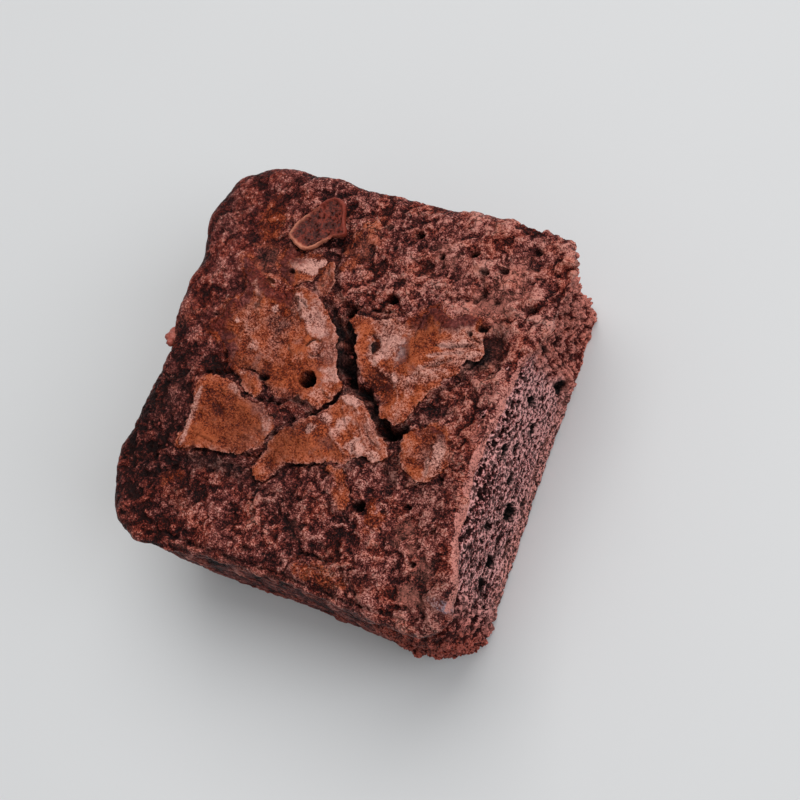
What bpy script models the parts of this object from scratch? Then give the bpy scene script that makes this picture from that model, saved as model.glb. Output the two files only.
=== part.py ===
"""Chocolate brownie: one baked piece with a knife-cut side, and the loose crust flake lying on it.

Frame: metres, +Z up, origin under the middle of the piece on the plane it rests on.
+X points to the cut side, +Y to the back. Sizes below are in millimetres.
Outline and surface points are measured from the middle of the top face.
"""

import math

import bmesh
import bpy
import numpy as np
from mathutils import Vector, noise

MM = 0.001

# Middle of the piece's bounding box, measured from the middle of the top face.
MIDDLE_X = 0.626
MIDDLE_Y = 0.425

# Heights above the resting plane.
RIM_HEIGHT = 25.0
CROWN = 0.35

# Top outline, counter-clockwise from the front left corner.
RIM = (
    (-19.3, -29.8), (-6.0, -29.8), (8.0, -30.1), (20.0, -30.8), (26.5, -30.4), (29.6, -27.4),
    (28.8, -22.5), (27.2, -16.0), (26.4, -8.0), (27.2, 0.0), (28.4, 9.0), (30.2, 16.0),
    (31.0, 22.5), (29.2, 28.0), (24.0, 29.7), (15.5, 29.5), (9.0, 30.3), (-3.0, 31.2),
    (-12.0, 32.0), (-21.0, 31.9), (-27.2, 29.3), (-29.6, 22.7), (-28.4, 14.2), (-29.2, 7.0),
    (-27.9, -3.0), (-29.2, -11.5), (-29.9, -18.5), (-27.1, -26.1),
)

# Outline at the foot: pan sides draw in, the cut side stands a little out.
FOOT = (
    (-19.0, -27.8), (-6.0, -28.6), (6.0, -29.5), (16.0, -31.0), (21.5, -31.2), (25.6, -29.5),
    (27.8, -25.5), (28.1, -15.0), (28.4, 0.0), (28.9, 8.0), (30.6, 13.5), (30.8, 20.0),
    (30.2, 26.0), (26.0, 29.0), (15.0, 28.6), (0.0, 29.3), (-12.0, 30.1), (-20.2, 29.8),
    (-25.8, 27.0), (-27.7, 21.0), (-27.2, 10.0), (-26.8, -2.0), (-27.9, -14.0), (-27.5, -20.5),
    (-24.6, -25.7),
)

# Rings that make the sides, as shares of the way down from the rim, and the rounding at the foot.
SIDE_RINGS = (0.05, 0.12, 0.30, 0.52, 0.75, 0.95)
FOOT_ROUND = 0.9

# Overhang of the crust lip on the pan sides, and the depth where the hollow under it is deepest.
LIP_RECESS = 0.8
LIP_RECESS_DEPTH = 2.8
LIP_RECESS_SPREAD = 2.4

# The cut runs from the front corner to here; behind it the crumb is torn and bulges.
TEAR_START_Y = 9.0
TEAR_BLEND = 5.0
TEAR_LUMP = 0.9
TEAR_LUMP_SIZE = 4.5
CUT_SIDE_HALF_ANGLE = math.radians(46.0)
CUT_SIDE_BLEND = math.radians(8.0)

# Rounding over the rim: how far in from the edge it starts and how far it drops.
PAN_EDGE_WIDTH = 3.2
PAN_EDGE_DROP = 1.5
CUT_EDGE_WIDTH = 1.6
CUT_EDGE_DROP = 0.6

# Raised plates of skin: rise, then the outline.
PLATES = {
    "west": (0.7, (
        (-20.5, 16.0), (-16.5, 14.3), (-12.0, 12.0), (-7.5, 13.2), (-3.0, 10.5), (0.3, 5.5), (3.2, 0.6),
        (0.8, -4.0), (-5.5, -3.8), (-9.5, -1.0), (-16.5, -0.6), (-22.0, 4.5), (-20.0, 9.5), (-17.5, 11.0))),
    "east": (0.8, (
        (0.9, 10.6), (9.0, 11.4), (14.0, 14.7), (20.5, 14.5), (22.3, 9.5), (19.8, 4.8),
        (15.0, -1.0), (12.5, -3.5), (10.2, -1.5), (5.0, 2.8), (3.0, 8.0))),
    "south_west": (0.6, (
        (-20.2, -3.6), (-14.0, -3.2), (-8.0, -5.8), (-5.2, -8.5), (-7.0, -12.2), (-13.0, -13.8),
        (-20.3, -14.8), (-19.8, -8.0))),
    "south": (0.7, (
        (5.6, -0.8), (10.0, -4.3), (13.5, -8.0), (8.0, -10.6), (0.0, -12.6), (-3.4, -16.2),
        (-6.0, -15.5), (-4.4, -9.5), (1.3, -5.2))),
    "south_east": (0.5, ((15.2, -5.0), (19.2, -2.2), (22.3, -5.8), (21.3, -10.0), (18.2, -10.4))),
    "north": (0.3, ((-13.8, 18.5), (-6.2, 18.6), (-5.6, 14.2), (-10.0, 13.6), (-14.3, 16.2))),
}
PLATE_EDGE = 0.8

# Cracks and creases between the plates: width, depth, then the run.
CRACKS = {
    "main": (2.1, 2.6, (
        (0.2, 11.2), (1.6, 7.2), (2.8, 4.6), (4.4, 0.8), (8.0, -0.6), (11.5, -4.2), (14.4, -4.4))),
    "north": (1.0, 1.1, ((-7.3, 14.5), (-3.6, 12.0), (1.0, 8.3))),
    "west": (1.0, 1.3, (
        (3.6, 0.6), (1.6, -3.6), (-2.5, -4.0), (-8.0, -4.7), (-13.0, -3.0), (-16.5, -1.9), (-21.3, -3.2))),
    "south_west": (0.9, 1.2, ((-0.6, -4.4), (-4.8, -9.0), (-6.6, -13.4), (-12.0, -14.2))),
    "left_crease": (1.2, 0.8, ((-24.0, -20.4), (-20.8, -18.8), (-17.5, -17.2))),
    "front_crease": (1.0, 0.7, ((-10.5, -17.0), (-5.5, -17.9), (-3.0, -22.5))),
    "corner_crease": (1.1, 0.8, ((8.0, -22.5), (12.0, -25.0), (15.5, -27.6))),
    "front_slit": (0.9, 1.0, ((5.6, -24.6), (7.8, -24.6), (10.0, -24.9))),
}
CRACK_SIDES_PER_QUARTER = 1
CRACK_END_SHARE = 0.35

# Lumps all over the top.
LUMP_HEIGHT = 0.3
LUMP_SIZE = 4.0

# Steam holes in the top: x, y, diameter, depth.
TOP_HOLES = ((-2.2, -0.3, 2.6, 4.0), (12.0, -16.0, 1.7, 3.0), (6.5, 14.3, 1.6, 2.6))
# Bubbles opened by the knife: y, depth below the rim, width, height, how far in.
SIDE_HOLES = ((-9.1, 17.0, 2.3, 3.0, 2.6), (-16.3, 16.4, 1.7, 2.3, 2.2))
HOLE_SIDES = 12
HOLE_FLOOR_SHARE = 0.6
HOLE_OVERSHOOT = 1.0
CUT_FACE_X = 28.1

# Grid cells across the top.
TOP_CELLS = 48

# The loose flake: outline, thickness, how far its middle dips, its rounded edge and its clearance.
FLAKE = (
    (-9.8, 18.9), (-7.2, 20.6), (-3.8, 22.3), (-4.8, 25.2), (-6.9, 27.9),
    (-9.6, 26.4), (-12.2, 23.2), (-13.1, 20.8),
)
FLAKE_THICKNESS = 1.3
FLAKE_DISH = 0.35
FLAKE_EDGE_ROUND = 0.3
FLAKE_EDGE_START = 0.85
FLAKE_WAIST_SCALE = 1.03
FLAKE_FOOT_SCALE = 0.93
FLAKE_GRAIN = 0.12
FLAKE_GRAIN_SIZE = 1.3
FLAKE_CELLS = 14
FLAKE_GAP = 0.3

OUTLINE_SAMPLES = 720
SHARP_ANGLE = math.radians(35.0)
WELD = 1e-6


def clear_scene():
    """Take away whatever the scene starts with."""
    for item in list(bpy.data.objects):
        bpy.data.objects.remove(item, do_unlink=True)


def new_collection(name):
    """Add a collection to the scene."""
    collection = bpy.data.collections.new(name)
    bpy.context.scene.collection.children.link(collection)
    return collection


def new_material(name, colour, roughness):
    """A plain Principled finish."""
    material = bpy.data.materials.new(name)
    material.use_nodes = True
    shader = material.node_tree.nodes["Principled BSDF"]
    shader.inputs["Base Color"].default_value = (*colour, 1.0)
    shader.inputs["Roughness"].default_value = roughness
    shader.inputs["Metallic"].default_value = 0.0
    return material


def smooth_step(value, low, high):
    """0 below low, 1 above high, with soft ends."""
    t = np.clip((value - low) / (high - low), 0.0, 1.0)
    return t * t * (3.0 - 2.0 * t)


def closed_curve(points, count=OUTLINE_SAMPLES):
    """Points spaced along the closed Catmull-Rom curve through the given ones."""
    knots = np.array(points)
    position = np.arange(count) / count * len(knots)
    index = position.astype(int)
    t = (position - index)[:, None]
    before, start, end, after = (knots[(index + shift) % len(knots)] for shift in (-1, 0, 1, 2))
    return 0.5 * (
        2.0 * start
        + (end - before) * t
        + (2.0 * before - 5.0 * start + 4.0 * end - after) * t**2
        + (3.0 * start - before - 3.0 * end + after) * t**3
    )


class Outline:
    """A closed outline read as a radius for each direction from its centre."""

    def __init__(self, points, centre):
        self.centre = np.array(centre)
        arms = closed_curve(points) - self.centre
        angles = np.arctan2(arms[:, 1], arms[:, 0])
        order = np.argsort(angles)
        self.angles = angles[order]
        self.radii = np.hypot(arms[:, 0], arms[:, 1])[order]

    def radius(self, angle):
        """Distance from the centre to the outline in this direction."""
        return np.interp(angle, self.angles, self.radii, period=2.0 * math.pi)


def distance_to_edge(x, y, points):
    """Distance from each place to the sides of a closed outline."""
    nearest = np.full(np.shape(x), np.inf)
    for (ax, ay), (bx, by) in zip(points, points[1:] + points[:1]):
        dx, dy = bx - ax, by - ay
        along = np.clip(((x - ax) * dx + (y - ay) * dy) / (dx * dx + dy * dy), 0.0, 1.0)
        nearest = np.minimum(nearest, np.hypot(x - ax - along * dx, y - ay - along * dy))
    return nearest


def inside(x, y, points):
    """Whether each place is within a closed outline."""
    result = np.zeros(np.shape(x), dtype=bool)
    for (ax, ay), (bx, by) in zip(points, points[1:] + points[:1]):
        crosses = (ay > y) != (by > y)
        run = (bx - ax) * (y - ay) / np.where(by == ay, 1.0, by - ay) + ax
        result ^= crosses & (x < run)
    return result


def lumps(x, y, z, size):
    """Smooth uneven relief between about -1 and 1."""
    places = np.column_stack([np.ravel(x), np.ravel(y), np.ravel(z)]) / size
    return np.array([noise.noise(Vector(place)) for place in places]).reshape(np.shape(x))


def relief(x, y):
    """Height of the skin above the plain top: lumps and raised plates."""
    height = LUMP_HEIGHT * lumps(x, y, np.zeros_like(x), LUMP_SIZE)
    for rise, points in PLATES.values():
        within = np.where(inside(x, y, points), distance_to_edge(x, y, points), 0.0)
        height += rise * smooth_step(within, 0.0, PLATE_EDGE)
    return height


def cut_share(angle):
    """1 on the cut side, 0 on the pan sides, by direction from the centre."""
    return 1.0 - smooth_step(np.abs(angle), CUT_SIDE_HALF_ANGLE - CUT_SIDE_BLEND, CUT_SIDE_HALF_ANGLE)


def top_height(x, y, reach, angle):
    """Height of the top face; reach runs from 0 in the middle to 1 at the rim."""
    edge = (1.0 - reach) * RIM_OUTLINE.radius(angle)
    pan = PAN_EDGE_DROP * (1.0 - smooth_step(edge, 0.0, PAN_EDGE_WIDTH))
    cut = CUT_EDGE_DROP * (1.0 - smooth_step(edge, 0.0, CUT_EDGE_WIDTH))
    drop = pan + (cut - pan) * cut_share(angle)
    fade = smooth_step(edge, 0.0, PAN_EDGE_WIDTH)
    return RIM_HEIGHT + CROWN * (1.0 - reach**2) + relief(x, y) * fade - drop


def rim_height(angle):
    """Height of the rim itself in this direction."""
    return RIM_HEIGHT - PAN_EDGE_DROP + (PAN_EDGE_DROP - CUT_EDGE_DROP) * cut_share(angle)


def side_radius(angle, share):
    """Distance from the centre to the side in this direction, this share of the way down."""
    rim, foot = RIM_OUTLINE.radius(angle), FOOT_OUTLINE.radius(angle)
    depth = share * rim_height(angle)
    radius = rim + (foot - rim) * smooth_step(share, 0.0, 1.0)
    hollow = LIP_RECESS * np.exp(-(((depth - LIP_RECESS_DEPTH) / LIP_RECESS_SPREAD) ** 2))
    radius = radius - hollow * (1.0 - cut_share(angle))
    x, y = radius * np.cos(angle), radius * np.sin(angle)
    torn = smooth_step(y, TEAR_START_Y, TEAR_START_Y + TEAR_BLEND) * cut_share(angle)
    return radius + torn * TEAR_LUMP * lumps(x, y, depth, TEAR_LUMP_SIZE)


def warped_grid(cells, outline):
    """A square grid in a new mesh, bent so that its border follows the outline.

    Returns the mesh, its points, their directions from the centre, and their reach (1 at the border).
    """
    mesh = bmesh.new()
    bmesh.ops.create_grid(mesh, x_segments=cells, y_segments=cells, size=1.0)
    mesh.verts.ensure_lookup_table()
    flat = np.array([vert.co[:2] for vert in mesh.verts])
    reach = np.abs(flat).max(axis=1)
    angle = np.arctan2(flat[:, 1], flat[:, 0])
    square = np.hypot(flat[:, 0], flat[:, 1]) / np.maximum(reach, 1e-9)
    half = outline.radius(np.arange(4) * 0.5 * math.pi).mean()
    stretch = half + (outline.radius(angle) / np.maximum(square, 1.0) - half) * reach**2
    return mesh, flat * stretch[:, None] + outline.centre, angle, reach


def border(mesh):
    """Edges with a face on one side only."""
    return [edge for edge in mesh.edges if edge.is_boundary]


def extrude_ring(mesh, place):
    """Extrude the open border and put each new point where place(old point) says."""
    grown = bmesh.ops.extrude_edge_only(mesh, edges=border(mesh))["geom"]
    for vert in (item for item in grown if isinstance(item, bmesh.types.BMVert)):
        vert.co = place(vert.co)


def finish_solid(mesh, name, collection, material):
    """Close the bottom, point the faces outwards and hang the mesh on a new object."""
    bmesh.ops.contextual_create(mesh, geom=border(mesh))
    bmesh.ops.recalc_face_normals(mesh, faces=mesh.faces)
    bmesh.ops.triangulate(mesh, faces=[face for face in mesh.faces if len(face.verts) > 4])
    data = bpy.data.meshes.new(name)
    mesh.to_mesh(data)
    mesh.free()
    data.shade_smooth()
    data.set_sharp_from_angle(angle=SHARP_ANGLE)
    data.materials.append(material)
    item = bpy.data.objects.new(name, data)
    collection.objects.link(item)
    return item


def to_metres(x, y, z):
    """Millimetres from the middle of the top face to metres from the object's origin."""
    return Vector(((x - MIDDLE_X) * MM, (y - MIDDLE_Y) * MM, z * MM))


def build_brownie(collection, material):
    """The piece itself: a bent grid for the top, rings for the sides and a flat base."""
    mesh, flat, angle, reach = warped_grid(TOP_CELLS, RIM_OUTLINE)
    height = top_height(flat[:, 0], flat[:, 1], reach, angle)
    for vert, (x, y), z in zip(mesh.verts, flat, height):
        vert.co = to_metres(x, y, z)

    def ring_place(share, inset=0.0):
        def place(point):
            angle = np.array(math.atan2(point.y / MM + MIDDLE_Y, point.x / MM + MIDDLE_X))
            radius = side_radius(angle, share) - inset
            height = (1.0 - share) * rim_height(angle)
            return to_metres(radius * math.cos(angle), radius * math.sin(angle), height)
        return place

    for share in SIDE_RINGS:
        extrude_ring(mesh, ring_place(share))
    extrude_ring(mesh, ring_place(1.0, FOOT_ROUND))
    return finish_solid(mesh, "brownie", collection, material)


def build_flake(collection, material):
    """The loose flake: a thin dished chip whose underside clears the top below it."""
    centre = np.array(FLAKE).mean(axis=0)
    outline = Outline(FLAKE, centre)
    mesh, flat, _, reach = warped_grid(FLAKE_CELLS, outline)
    below = top_height(flat[:, 0], flat[:, 1], np.zeros(len(flat)), np.zeros(len(flat))).max()
    bottom = below + FLAKE_GAP
    dip = FLAKE_DISH * (1.0 - reach**2) + FLAKE_EDGE_ROUND * smooth_step(reach, FLAKE_EDGE_START, 1.0)
    grain = FLAKE_GRAIN * lumps(flat[:, 0], flat[:, 1], np.zeros(len(flat)), FLAKE_GRAIN_SIZE)
    for vert, (x, y), z in zip(mesh.verts, flat, bottom + FLAKE_THICKNESS - dip + grain):
        vert.co = to_metres(x, y, z)
    middle = to_metres(*centre, 0.0)

    def ring_place(height, scale):
        def place(point):
            return Vector((*(middle.xy + (point.xy - middle.xy) * scale), height * MM))
        return place

    extrude_ring(mesh, ring_place(bottom + 0.5 * FLAKE_THICKNESS, FLAKE_WAIST_SCALE))
    extrude_ring(mesh, ring_place(bottom, FLAKE_FOOT_SCALE))
    return finish_solid(mesh, "crust_flake", collection, material)


def hide_cutter(cutter, collection):
    """Keep a cutter out of the finished piece."""
    cutter.hide_render = True
    cutter.display_type = "WIRE"
    collection.objects.link(cutter)


def plug_cutter(name, collection, place, size, turn=(0.0, 0.0, 0.0)):
    """A tapered plug of this size (across, along, tall) that cuts one hole."""
    mesh = bmesh.new()
    bmesh.ops.create_cone(
        mesh, cap_ends=True, segments=HOLE_SIDES, radius1=0.5 * HOLE_FLOOR_SHARE, radius2=0.5, depth=1.0)
    data = bpy.data.meshes.new(name)
    mesh.to_mesh(data)
    mesh.free()
    cutter = bpy.data.objects.new(name, data)
    cutter.location = place
    cutter.scale = [value * MM for value in size]
    cutter.rotation_euler = turn
    hide_cutter(cutter, collection)
    return cutter


def crack_cutter(name, collection, width, depth, points):
    """A tube along a crack, thin at its ends and stretched downwards, that cuts its groove."""
    curve = bpy.data.curves.new(name, "CURVE")
    curve.dimensions = "3D"
    curve.bevel_depth = 0.5 * width * MM
    curve.bevel_resolution = CRACK_SIDES_PER_QUARTER
    curve.use_fill_caps = True
    spline = curve.splines.new("POLY")
    spline.points.add(len(points) - 1)
    for number, ((x, y), point) in enumerate(zip(points, spline.points)):
        point.co = (*to_metres(x, y, 0.0), 1.0)
        point.radius = CRACK_END_SHARE if number in (0, len(points) - 1) else 1.0
    tube = bpy.data.objects.new(name, curve)
    collection.objects.link(tube)
    bpy.context.view_layer.update()
    data = bpy.data.meshes.new_from_object(tube.evaluated_get(bpy.context.evaluated_depsgraph_get()))
    bpy.data.objects.remove(tube)
    welded = bmesh.new()
    welded.from_mesh(data)
    bmesh.ops.remove_doubles(welded, verts=welded.verts, dist=WELD)
    bmesh.ops.recalc_face_normals(welded, faces=welded.faces)
    for vert in welded.verts:
        x, y = vert.co.x / MM + MIDDLE_X, vert.co.y / MM + MIDDLE_Y
        vert.co.z = vert.co.z * 2.0 * depth / width + (RIM_HEIGHT + CROWN + float(relief(x, y))) * MM
    welded.to_mesh(data)
    welded.free()
    cutter = bpy.data.objects.new(name, data)
    hide_cutter(cutter, collection)
    return cutter


def cut_openings(target, collection):
    """Cracks and steam holes in the top, and opened bubbles in the cut side."""
    cutters = [
        crack_cutter(f"crack_{name}", collection, width, depth, points)
        for name, (width, depth, points) in CRACKS.items()
    ]
    for number, (x, y, diameter, depth) in enumerate(TOP_HOLES):
        place = to_metres(x, y, RIM_HEIGHT + CROWN - 0.5 * depth + HOLE_OVERSHOOT)
        size = (diameter, diameter, depth + 2.0 * HOLE_OVERSHOOT)
        cutters.append(plug_cutter(f"top_hole_{number}", collection, place, size))
    for number, (y, depth, width, tall, inward) in enumerate(SIDE_HOLES):
        place = to_metres(CUT_FACE_X - 0.5 * inward + HOLE_OVERSHOOT, y, RIM_HEIGHT - depth)
        size = (tall, width, inward + 2.0 * HOLE_OVERSHOOT)
        turn = (0.0, math.radians(90.0), 0.0)
        cutters.append(plug_cutter(f"side_hole_{number}", collection, place, size, turn))
    for cutter in cutters:
        modifier = target.modifiers.new(cutter.name, "BOOLEAN")
        modifier.operation = "DIFFERENCE"
        modifier.object = cutter


RIM_OUTLINE = Outline(RIM, (0.0, 0.0))
FOOT_OUTLINE = Outline(FOOT, (0.0, 0.0))


def main():
    """Model the brownie and its loose flake."""
    clear_scene()
    parts = new_collection("chocolate_brownie")
    cutters = new_collection("brownie_cutters")
    crumb = new_material("brownie_crumb", (0.085, 0.030, 0.021), 0.62)
    crust = new_material("flake_crust", (0.115, 0.040, 0.026), 0.55)
    brownie = build_brownie(parts, crumb)
    cut_openings(brownie, cutters)
    build_flake(parts, crust)


if __name__ == "__main__":
    main()
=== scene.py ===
"""The looks of a chocolate brownie: crackled crust, lifted skin plates, porous cut crumb, a loose flake.

Shapes are worked out in millimetres, with x towards the cut side and y towards the back, both from the
middle of the top face, and z up from the resting plane. to_metres puts them into the frame.
"""

import logging
import math
from collections.abc import Callable
from dataclasses import dataclass
from functools import cached_property

import bpy
import numpy as np
from mathutils import Matrix, Vector, noise

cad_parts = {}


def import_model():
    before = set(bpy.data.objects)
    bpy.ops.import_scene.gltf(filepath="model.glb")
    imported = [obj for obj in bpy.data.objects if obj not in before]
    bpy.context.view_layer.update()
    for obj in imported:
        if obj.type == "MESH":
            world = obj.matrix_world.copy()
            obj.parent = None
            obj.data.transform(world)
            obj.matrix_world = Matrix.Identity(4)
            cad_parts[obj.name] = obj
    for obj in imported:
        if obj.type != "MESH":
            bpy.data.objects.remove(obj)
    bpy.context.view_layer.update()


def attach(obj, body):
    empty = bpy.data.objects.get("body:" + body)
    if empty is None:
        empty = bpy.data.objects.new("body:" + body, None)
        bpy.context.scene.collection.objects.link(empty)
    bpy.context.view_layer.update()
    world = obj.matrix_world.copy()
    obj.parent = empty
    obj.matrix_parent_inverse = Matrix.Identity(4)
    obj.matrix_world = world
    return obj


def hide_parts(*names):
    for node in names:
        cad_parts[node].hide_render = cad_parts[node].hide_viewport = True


LOG = logging.getLogger("brownie")

MM = 0.001
MIDDLE = (0.626, 0.425)
BODY = "root"
BROWNIE_NODE = "brownie"
FLAKE_NODE = "crust_flake"
BROWNIE_SLOT = "brownie_crumb"
FLAKE_SLOT = "flake_crust"
BAKE_MAP = "OFBake"

CRUMB_IOR = 1.45
FAR = 1e3
TINY = 1e-12
STEP_DOWN = 100.0

Array = np.ndarray
Point2 = tuple[float, float]
Point3 = tuple[float, float, float]
Run = tuple[Point2, ...]
Colour = Point3


def smooth_step(value: Array, low: float, high: float) -> Array:
    """Rise softly from 0 at low to 1 at high."""
    t = np.clip((value - low) / (high - low), 0, 1)
    return t * t * (3 - 2 * t)


def soft_limit(value: Array, above: float, below: float) -> Array:
    """Bend values softly so that they stay between -below and above."""
    limit = np.where(value > 0, above, below)
    return limit * np.tanh(value / limit)


def xyz(x: Array, y: Array, z: Array | float) -> Array:
    """Join coordinates, of which z may be a single number, into points (..., 3)."""
    return np.stack(np.broadcast_arrays(x, y, z), axis=-1)


def around(radius: Array | float, angle: Array, z: Array | float) -> Array:
    """Points (..., 3) at this distance and direction from the middle, and at this height."""
    return xyz(radius * np.cos(angle), radius * np.sin(angle), z)


def square_rings(u: Array, v: Array) -> tuple[Array, Array, Array]:
    """Ring, direction and length of the unit square's radius at places of a square grid."""
    reach = np.maximum(np.abs(u), np.abs(v))
    return reach, np.arctan2(v, u), np.hypot(u, v) / np.maximum(reach, 1e-9)


def to_metres(places: Array) -> Array:
    """Turn millimetres from the middle of the top face into the frame's metres."""
    return (places - np.array((*MIDDLE, 0.0))) * MM


def blur(field: Array, radius: int, wrap: bool = False) -> Array:
    """Average a grid of values over a square window, twice for a soft edge.

    Args:
        field: Values (rows, columns).
        radius: Half of the window, in cells.
        wrap: Whether the last column meets the first one.

    Returns:
        The averaged values, of the same shape.
    """
    result = field
    for _ in range(2):
        for axis in (0, 1):
            pads = [(0, 0), (0, 0)]
            pads[axis] = (radius + 1, radius)
            padded = np.pad(result, pads, mode="wrap" if wrap and axis == 1 else "edge")
            total = np.cumsum(padded, axis=axis)
            span = 2 * radius + 1
            upper = np.take(total, np.arange(span, total.shape[axis]), axis=axis)
            lower = np.take(total, np.arange(0, total.shape[axis] - span), axis=axis)
            result = (upper - lower) / span
    return result


def stand_out(height: Array, reach: tuple[int, int], gain: Point2, wrap: bool = False) -> Array:
    """How far each place stands above its surroundings.

    Args:
        height: Heights (rows, columns).
        reach: Near and far half windows, in cells.
        gain: How much the near and the far difference count.
        wrap: Whether the last column meets the first one.

    Returns:
        The weighted sum of both differences.
    """
    near, far = (height - blur(height, cells, wrap) for cells in reach)
    return gain[0] * near + gain[1] * far


@dataclass(frozen=True)
class Pattern:
    """Repeatable uneven patterns in space, told apart by their seed.

    Args:
        seed: A whole number that picks the pattern.
    """

    seed: int

    def _points(self, places: Array, size: float) -> list[Vector]:
        """Scale the places to the pattern and move them to this seed's part of space."""
        shift = np.array((17.3, 5.1, 9.7)) * self.seed
        return [Vector(place) for place in (np.reshape(places, (-1, 3)) / size + shift)]

    def waves(self, places: Array, size: float) -> Array:
        """Soft hills and dips, about -1 to 1, as far apart as size in millimetres."""
        values = [1.4 * noise.noise(place) for place in self._points(places, size)]
        return np.array(values).reshape(places.shape[:-1])

    def rough(self, places: Array, size: float, layers: int = 3, fade: float = 1.0) -> Array:
        """Waves with finer waves on them.

        Args:
            places: Points (..., 3) in millimetres.
            size: The distance between the largest hills.
            layers: How many layers there are, each half the size of the one before.
            fade: How quickly the finer layers weaken.

        Returns:
            One value for each point, about -1 to 1.
        """
        points = self._points(places, size)
        values = [noise.fractal(place, fade, 2.0, layers) for place in points]
        return np.array(values).reshape(places.shape[:-1])

    def cells(self, places: Array, size: float) -> tuple[Array, Array, Array]:
        """Distances to scattered centres, one in each cube of this size.

        Args:
            places: Points (..., 3) in millimetres.
            size: The side of the cubes.

        Returns:
            The distances to the nearest and second nearest centres, as shares of size,
            and a random value from 0 to 1 that belongs to the nearest centre.
        """
        found = []
        for place in self._points(places, size):
            away, centres = noise.voronoi(place)
            own = math.sin(centres[0].dot(Vector((12.99, 78.23, 37.72)))) * 43758.5 % 1
            found.append((away[0], away[1], own))
        nearest, second, own = (column.reshape(places.shape[:-1]) for column in np.array(found).T)
        return nearest, second, own

    @staticmethod
    def sway(seeds: tuple[int, ...], places: Array, size: float, layers: int, fade: float) -> Array:
        """Uneven shifts (..., 3), one rough pattern for each axis."""
        return np.stack([Pattern(seed).rough(places, size, layers, fade) for seed in seeds], axis=-1)


def closed_curve(points: Array, count: int) -> Array:
    """Walk the closed smooth curve through the points.

    Args:
        points: Knots (n, any) of the curve.
        count: How many places to return.

    Returns:
        Places (count, any) along the curve.
    """
    knots = np.asarray(points, float)
    position = np.arange(count) / count * len(knots)
    index = position.astype(int)
    t = (position - index)[:, None]
    before, start, end, after = (knots[(index + shift) % len(knots)] for shift in (-1, 0, 1, 2))
    return 0.5 * (
        2 * start
        + (end - before) * t
        + (2 * before - 5 * start + 4 * end - after) * t**2
        + (3 * start - before - 3 * end + after) * t**3
    )


class PolarOutline:
    """A closed outline read as a radius for each direction from its middle."""

    SAMPLES = 720

    def __init__(self, points: Run, centre: Point2 = (0.0, 0.0)) -> None:
        """Sample the smooth curve through the points, by direction from the centre.

        Args:
            points: Knots of the outline.
            centre: Its middle.
        """
        self.centre = np.array(centre)
        arms = closed_curve(np.array(points), self.SAMPLES) - self.centre
        angles = np.arctan2(arms[:, 1], arms[:, 0])
        order = np.argsort(angles)
        self.angles = angles[order]
        self.radii = np.hypot(arms[:, 0], arms[:, 1])[order]

    def radius(self, angle: Array) -> Array:
        """Distance from the middle to the outline in each direction."""
        return np.interp(angle, self.angles, self.radii, period=2 * math.pi)

    def fill(self, share: Array, square: Array, rim: Array) -> Array:
        """Distance from the middle of grid places: on squares near it, on the outline at the rim."""
        half = self.radius(np.arange(4) * 0.5 * math.pi).mean()
        return share * (half * square + (rim - half * square) * share**2)


def run_distance(x: Array, y: Array, run: Run) -> Array:
    """Distance from each place to an open run of straight pieces.

    Args:
        x: Places towards the cut side.
        y: Places towards the back.
        run: The run's points.

    Returns:
        The distances, in millimetres.
    """
    nearest = np.full(x.shape, FAR)
    for (ax, ay), (bx, by) in zip(run, run[1:]):
        dx, dy = bx - ax, by - ay
        along = np.clip(((x - ax) * dx + (y - ay) * dy) / (dx * dx + dy * dy), 0, 1)
        nearest = np.minimum(nearest, np.hypot(x - ax - along * dx, y - ay - along * dy))
    return nearest


@dataclass(frozen=True)
class Crack:
    """A crack, crease or raised fold that follows a run of points.

    Args:
        width: Its full width in millimetres.
        depth: How deep it goes, negative for a raised fold.
        run: The places that it passes through.
        darkness: How much painted shade darkens its floor, from 0 to 1.
    """

    width: float
    depth: float
    run: Run
    darkness: float = 1.0

    def share(self, x: Array, y: Array, uneven: Array) -> Array:
        """How far each place is down the crack, from 0 outside to 1 on its floor.

        Args:
            x: Places towards the cut side.
            y: Places towards the back.
            uneven: Roughness there, about -1 to 1.

        Returns:
            The shares.
        """
        half = 0.5 * self.width * np.maximum(1 + 0.9 * uneven, 0.15)
        away = run_distance(x, y, self.run) + 0.5 * uneven * min(self.width, 1.0)
        return 1 - smooth_step(away / half, -0.3, 1.5)


@dataclass(frozen=True)
class Spot:
    """A round or oval mark: a steam hole, a lump, a dip or a patch of colour.

    Args:
        x: Place towards the cut side.
        y: Place towards the back.
        length: Size along its turned x axis.
        width: Size across that.
        turn: Angle of its long axis in degrees.
        height: How far it stands up, or goes down if negative.
        soft: Share of its radius over which it fades out.
        warmth: How far it takes the skin's warm brown; below 0 it turns dull, and further below it takes a
            painted bluish sheen.
        bloom: How much pale bloom and painted sheen lie on it.
        darkness: How dark it is: painted shade in holes, dips and shaded stretches, a darker tone in a few
            patches.
    """

    x: float
    y: float
    length: float
    width: float
    turn: float = 0.0
    height: float = 0.0
    soft: float = 0.5
    warmth: float = 0.0
    bloom: float = 0.0
    darkness: float = 0.0

    def share(self, x: Array, y: Array, uneven: Array) -> Array:
        """How much of the spot there is at each place, from 0 to 1.

        Args:
            x: Places towards the cut side.
            y: Places towards the back.
            uneven: Roughness there, about -1 to 1.

        Returns:
            The shares.
        """
        angle = math.radians(self.turn)
        dx, dy = x - self.x, y - self.y
        along = (dx * math.cos(angle) + dy * math.sin(angle)) / (0.5 * self.length)
        across = (dy * math.cos(angle) - dx * math.sin(angle)) / (0.5 * self.width)
        away = np.hypot(along, across) + 0.45 * uneven
        return 1 - smooth_step(away, 1 - self.soft, 1 + self.soft)


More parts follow.
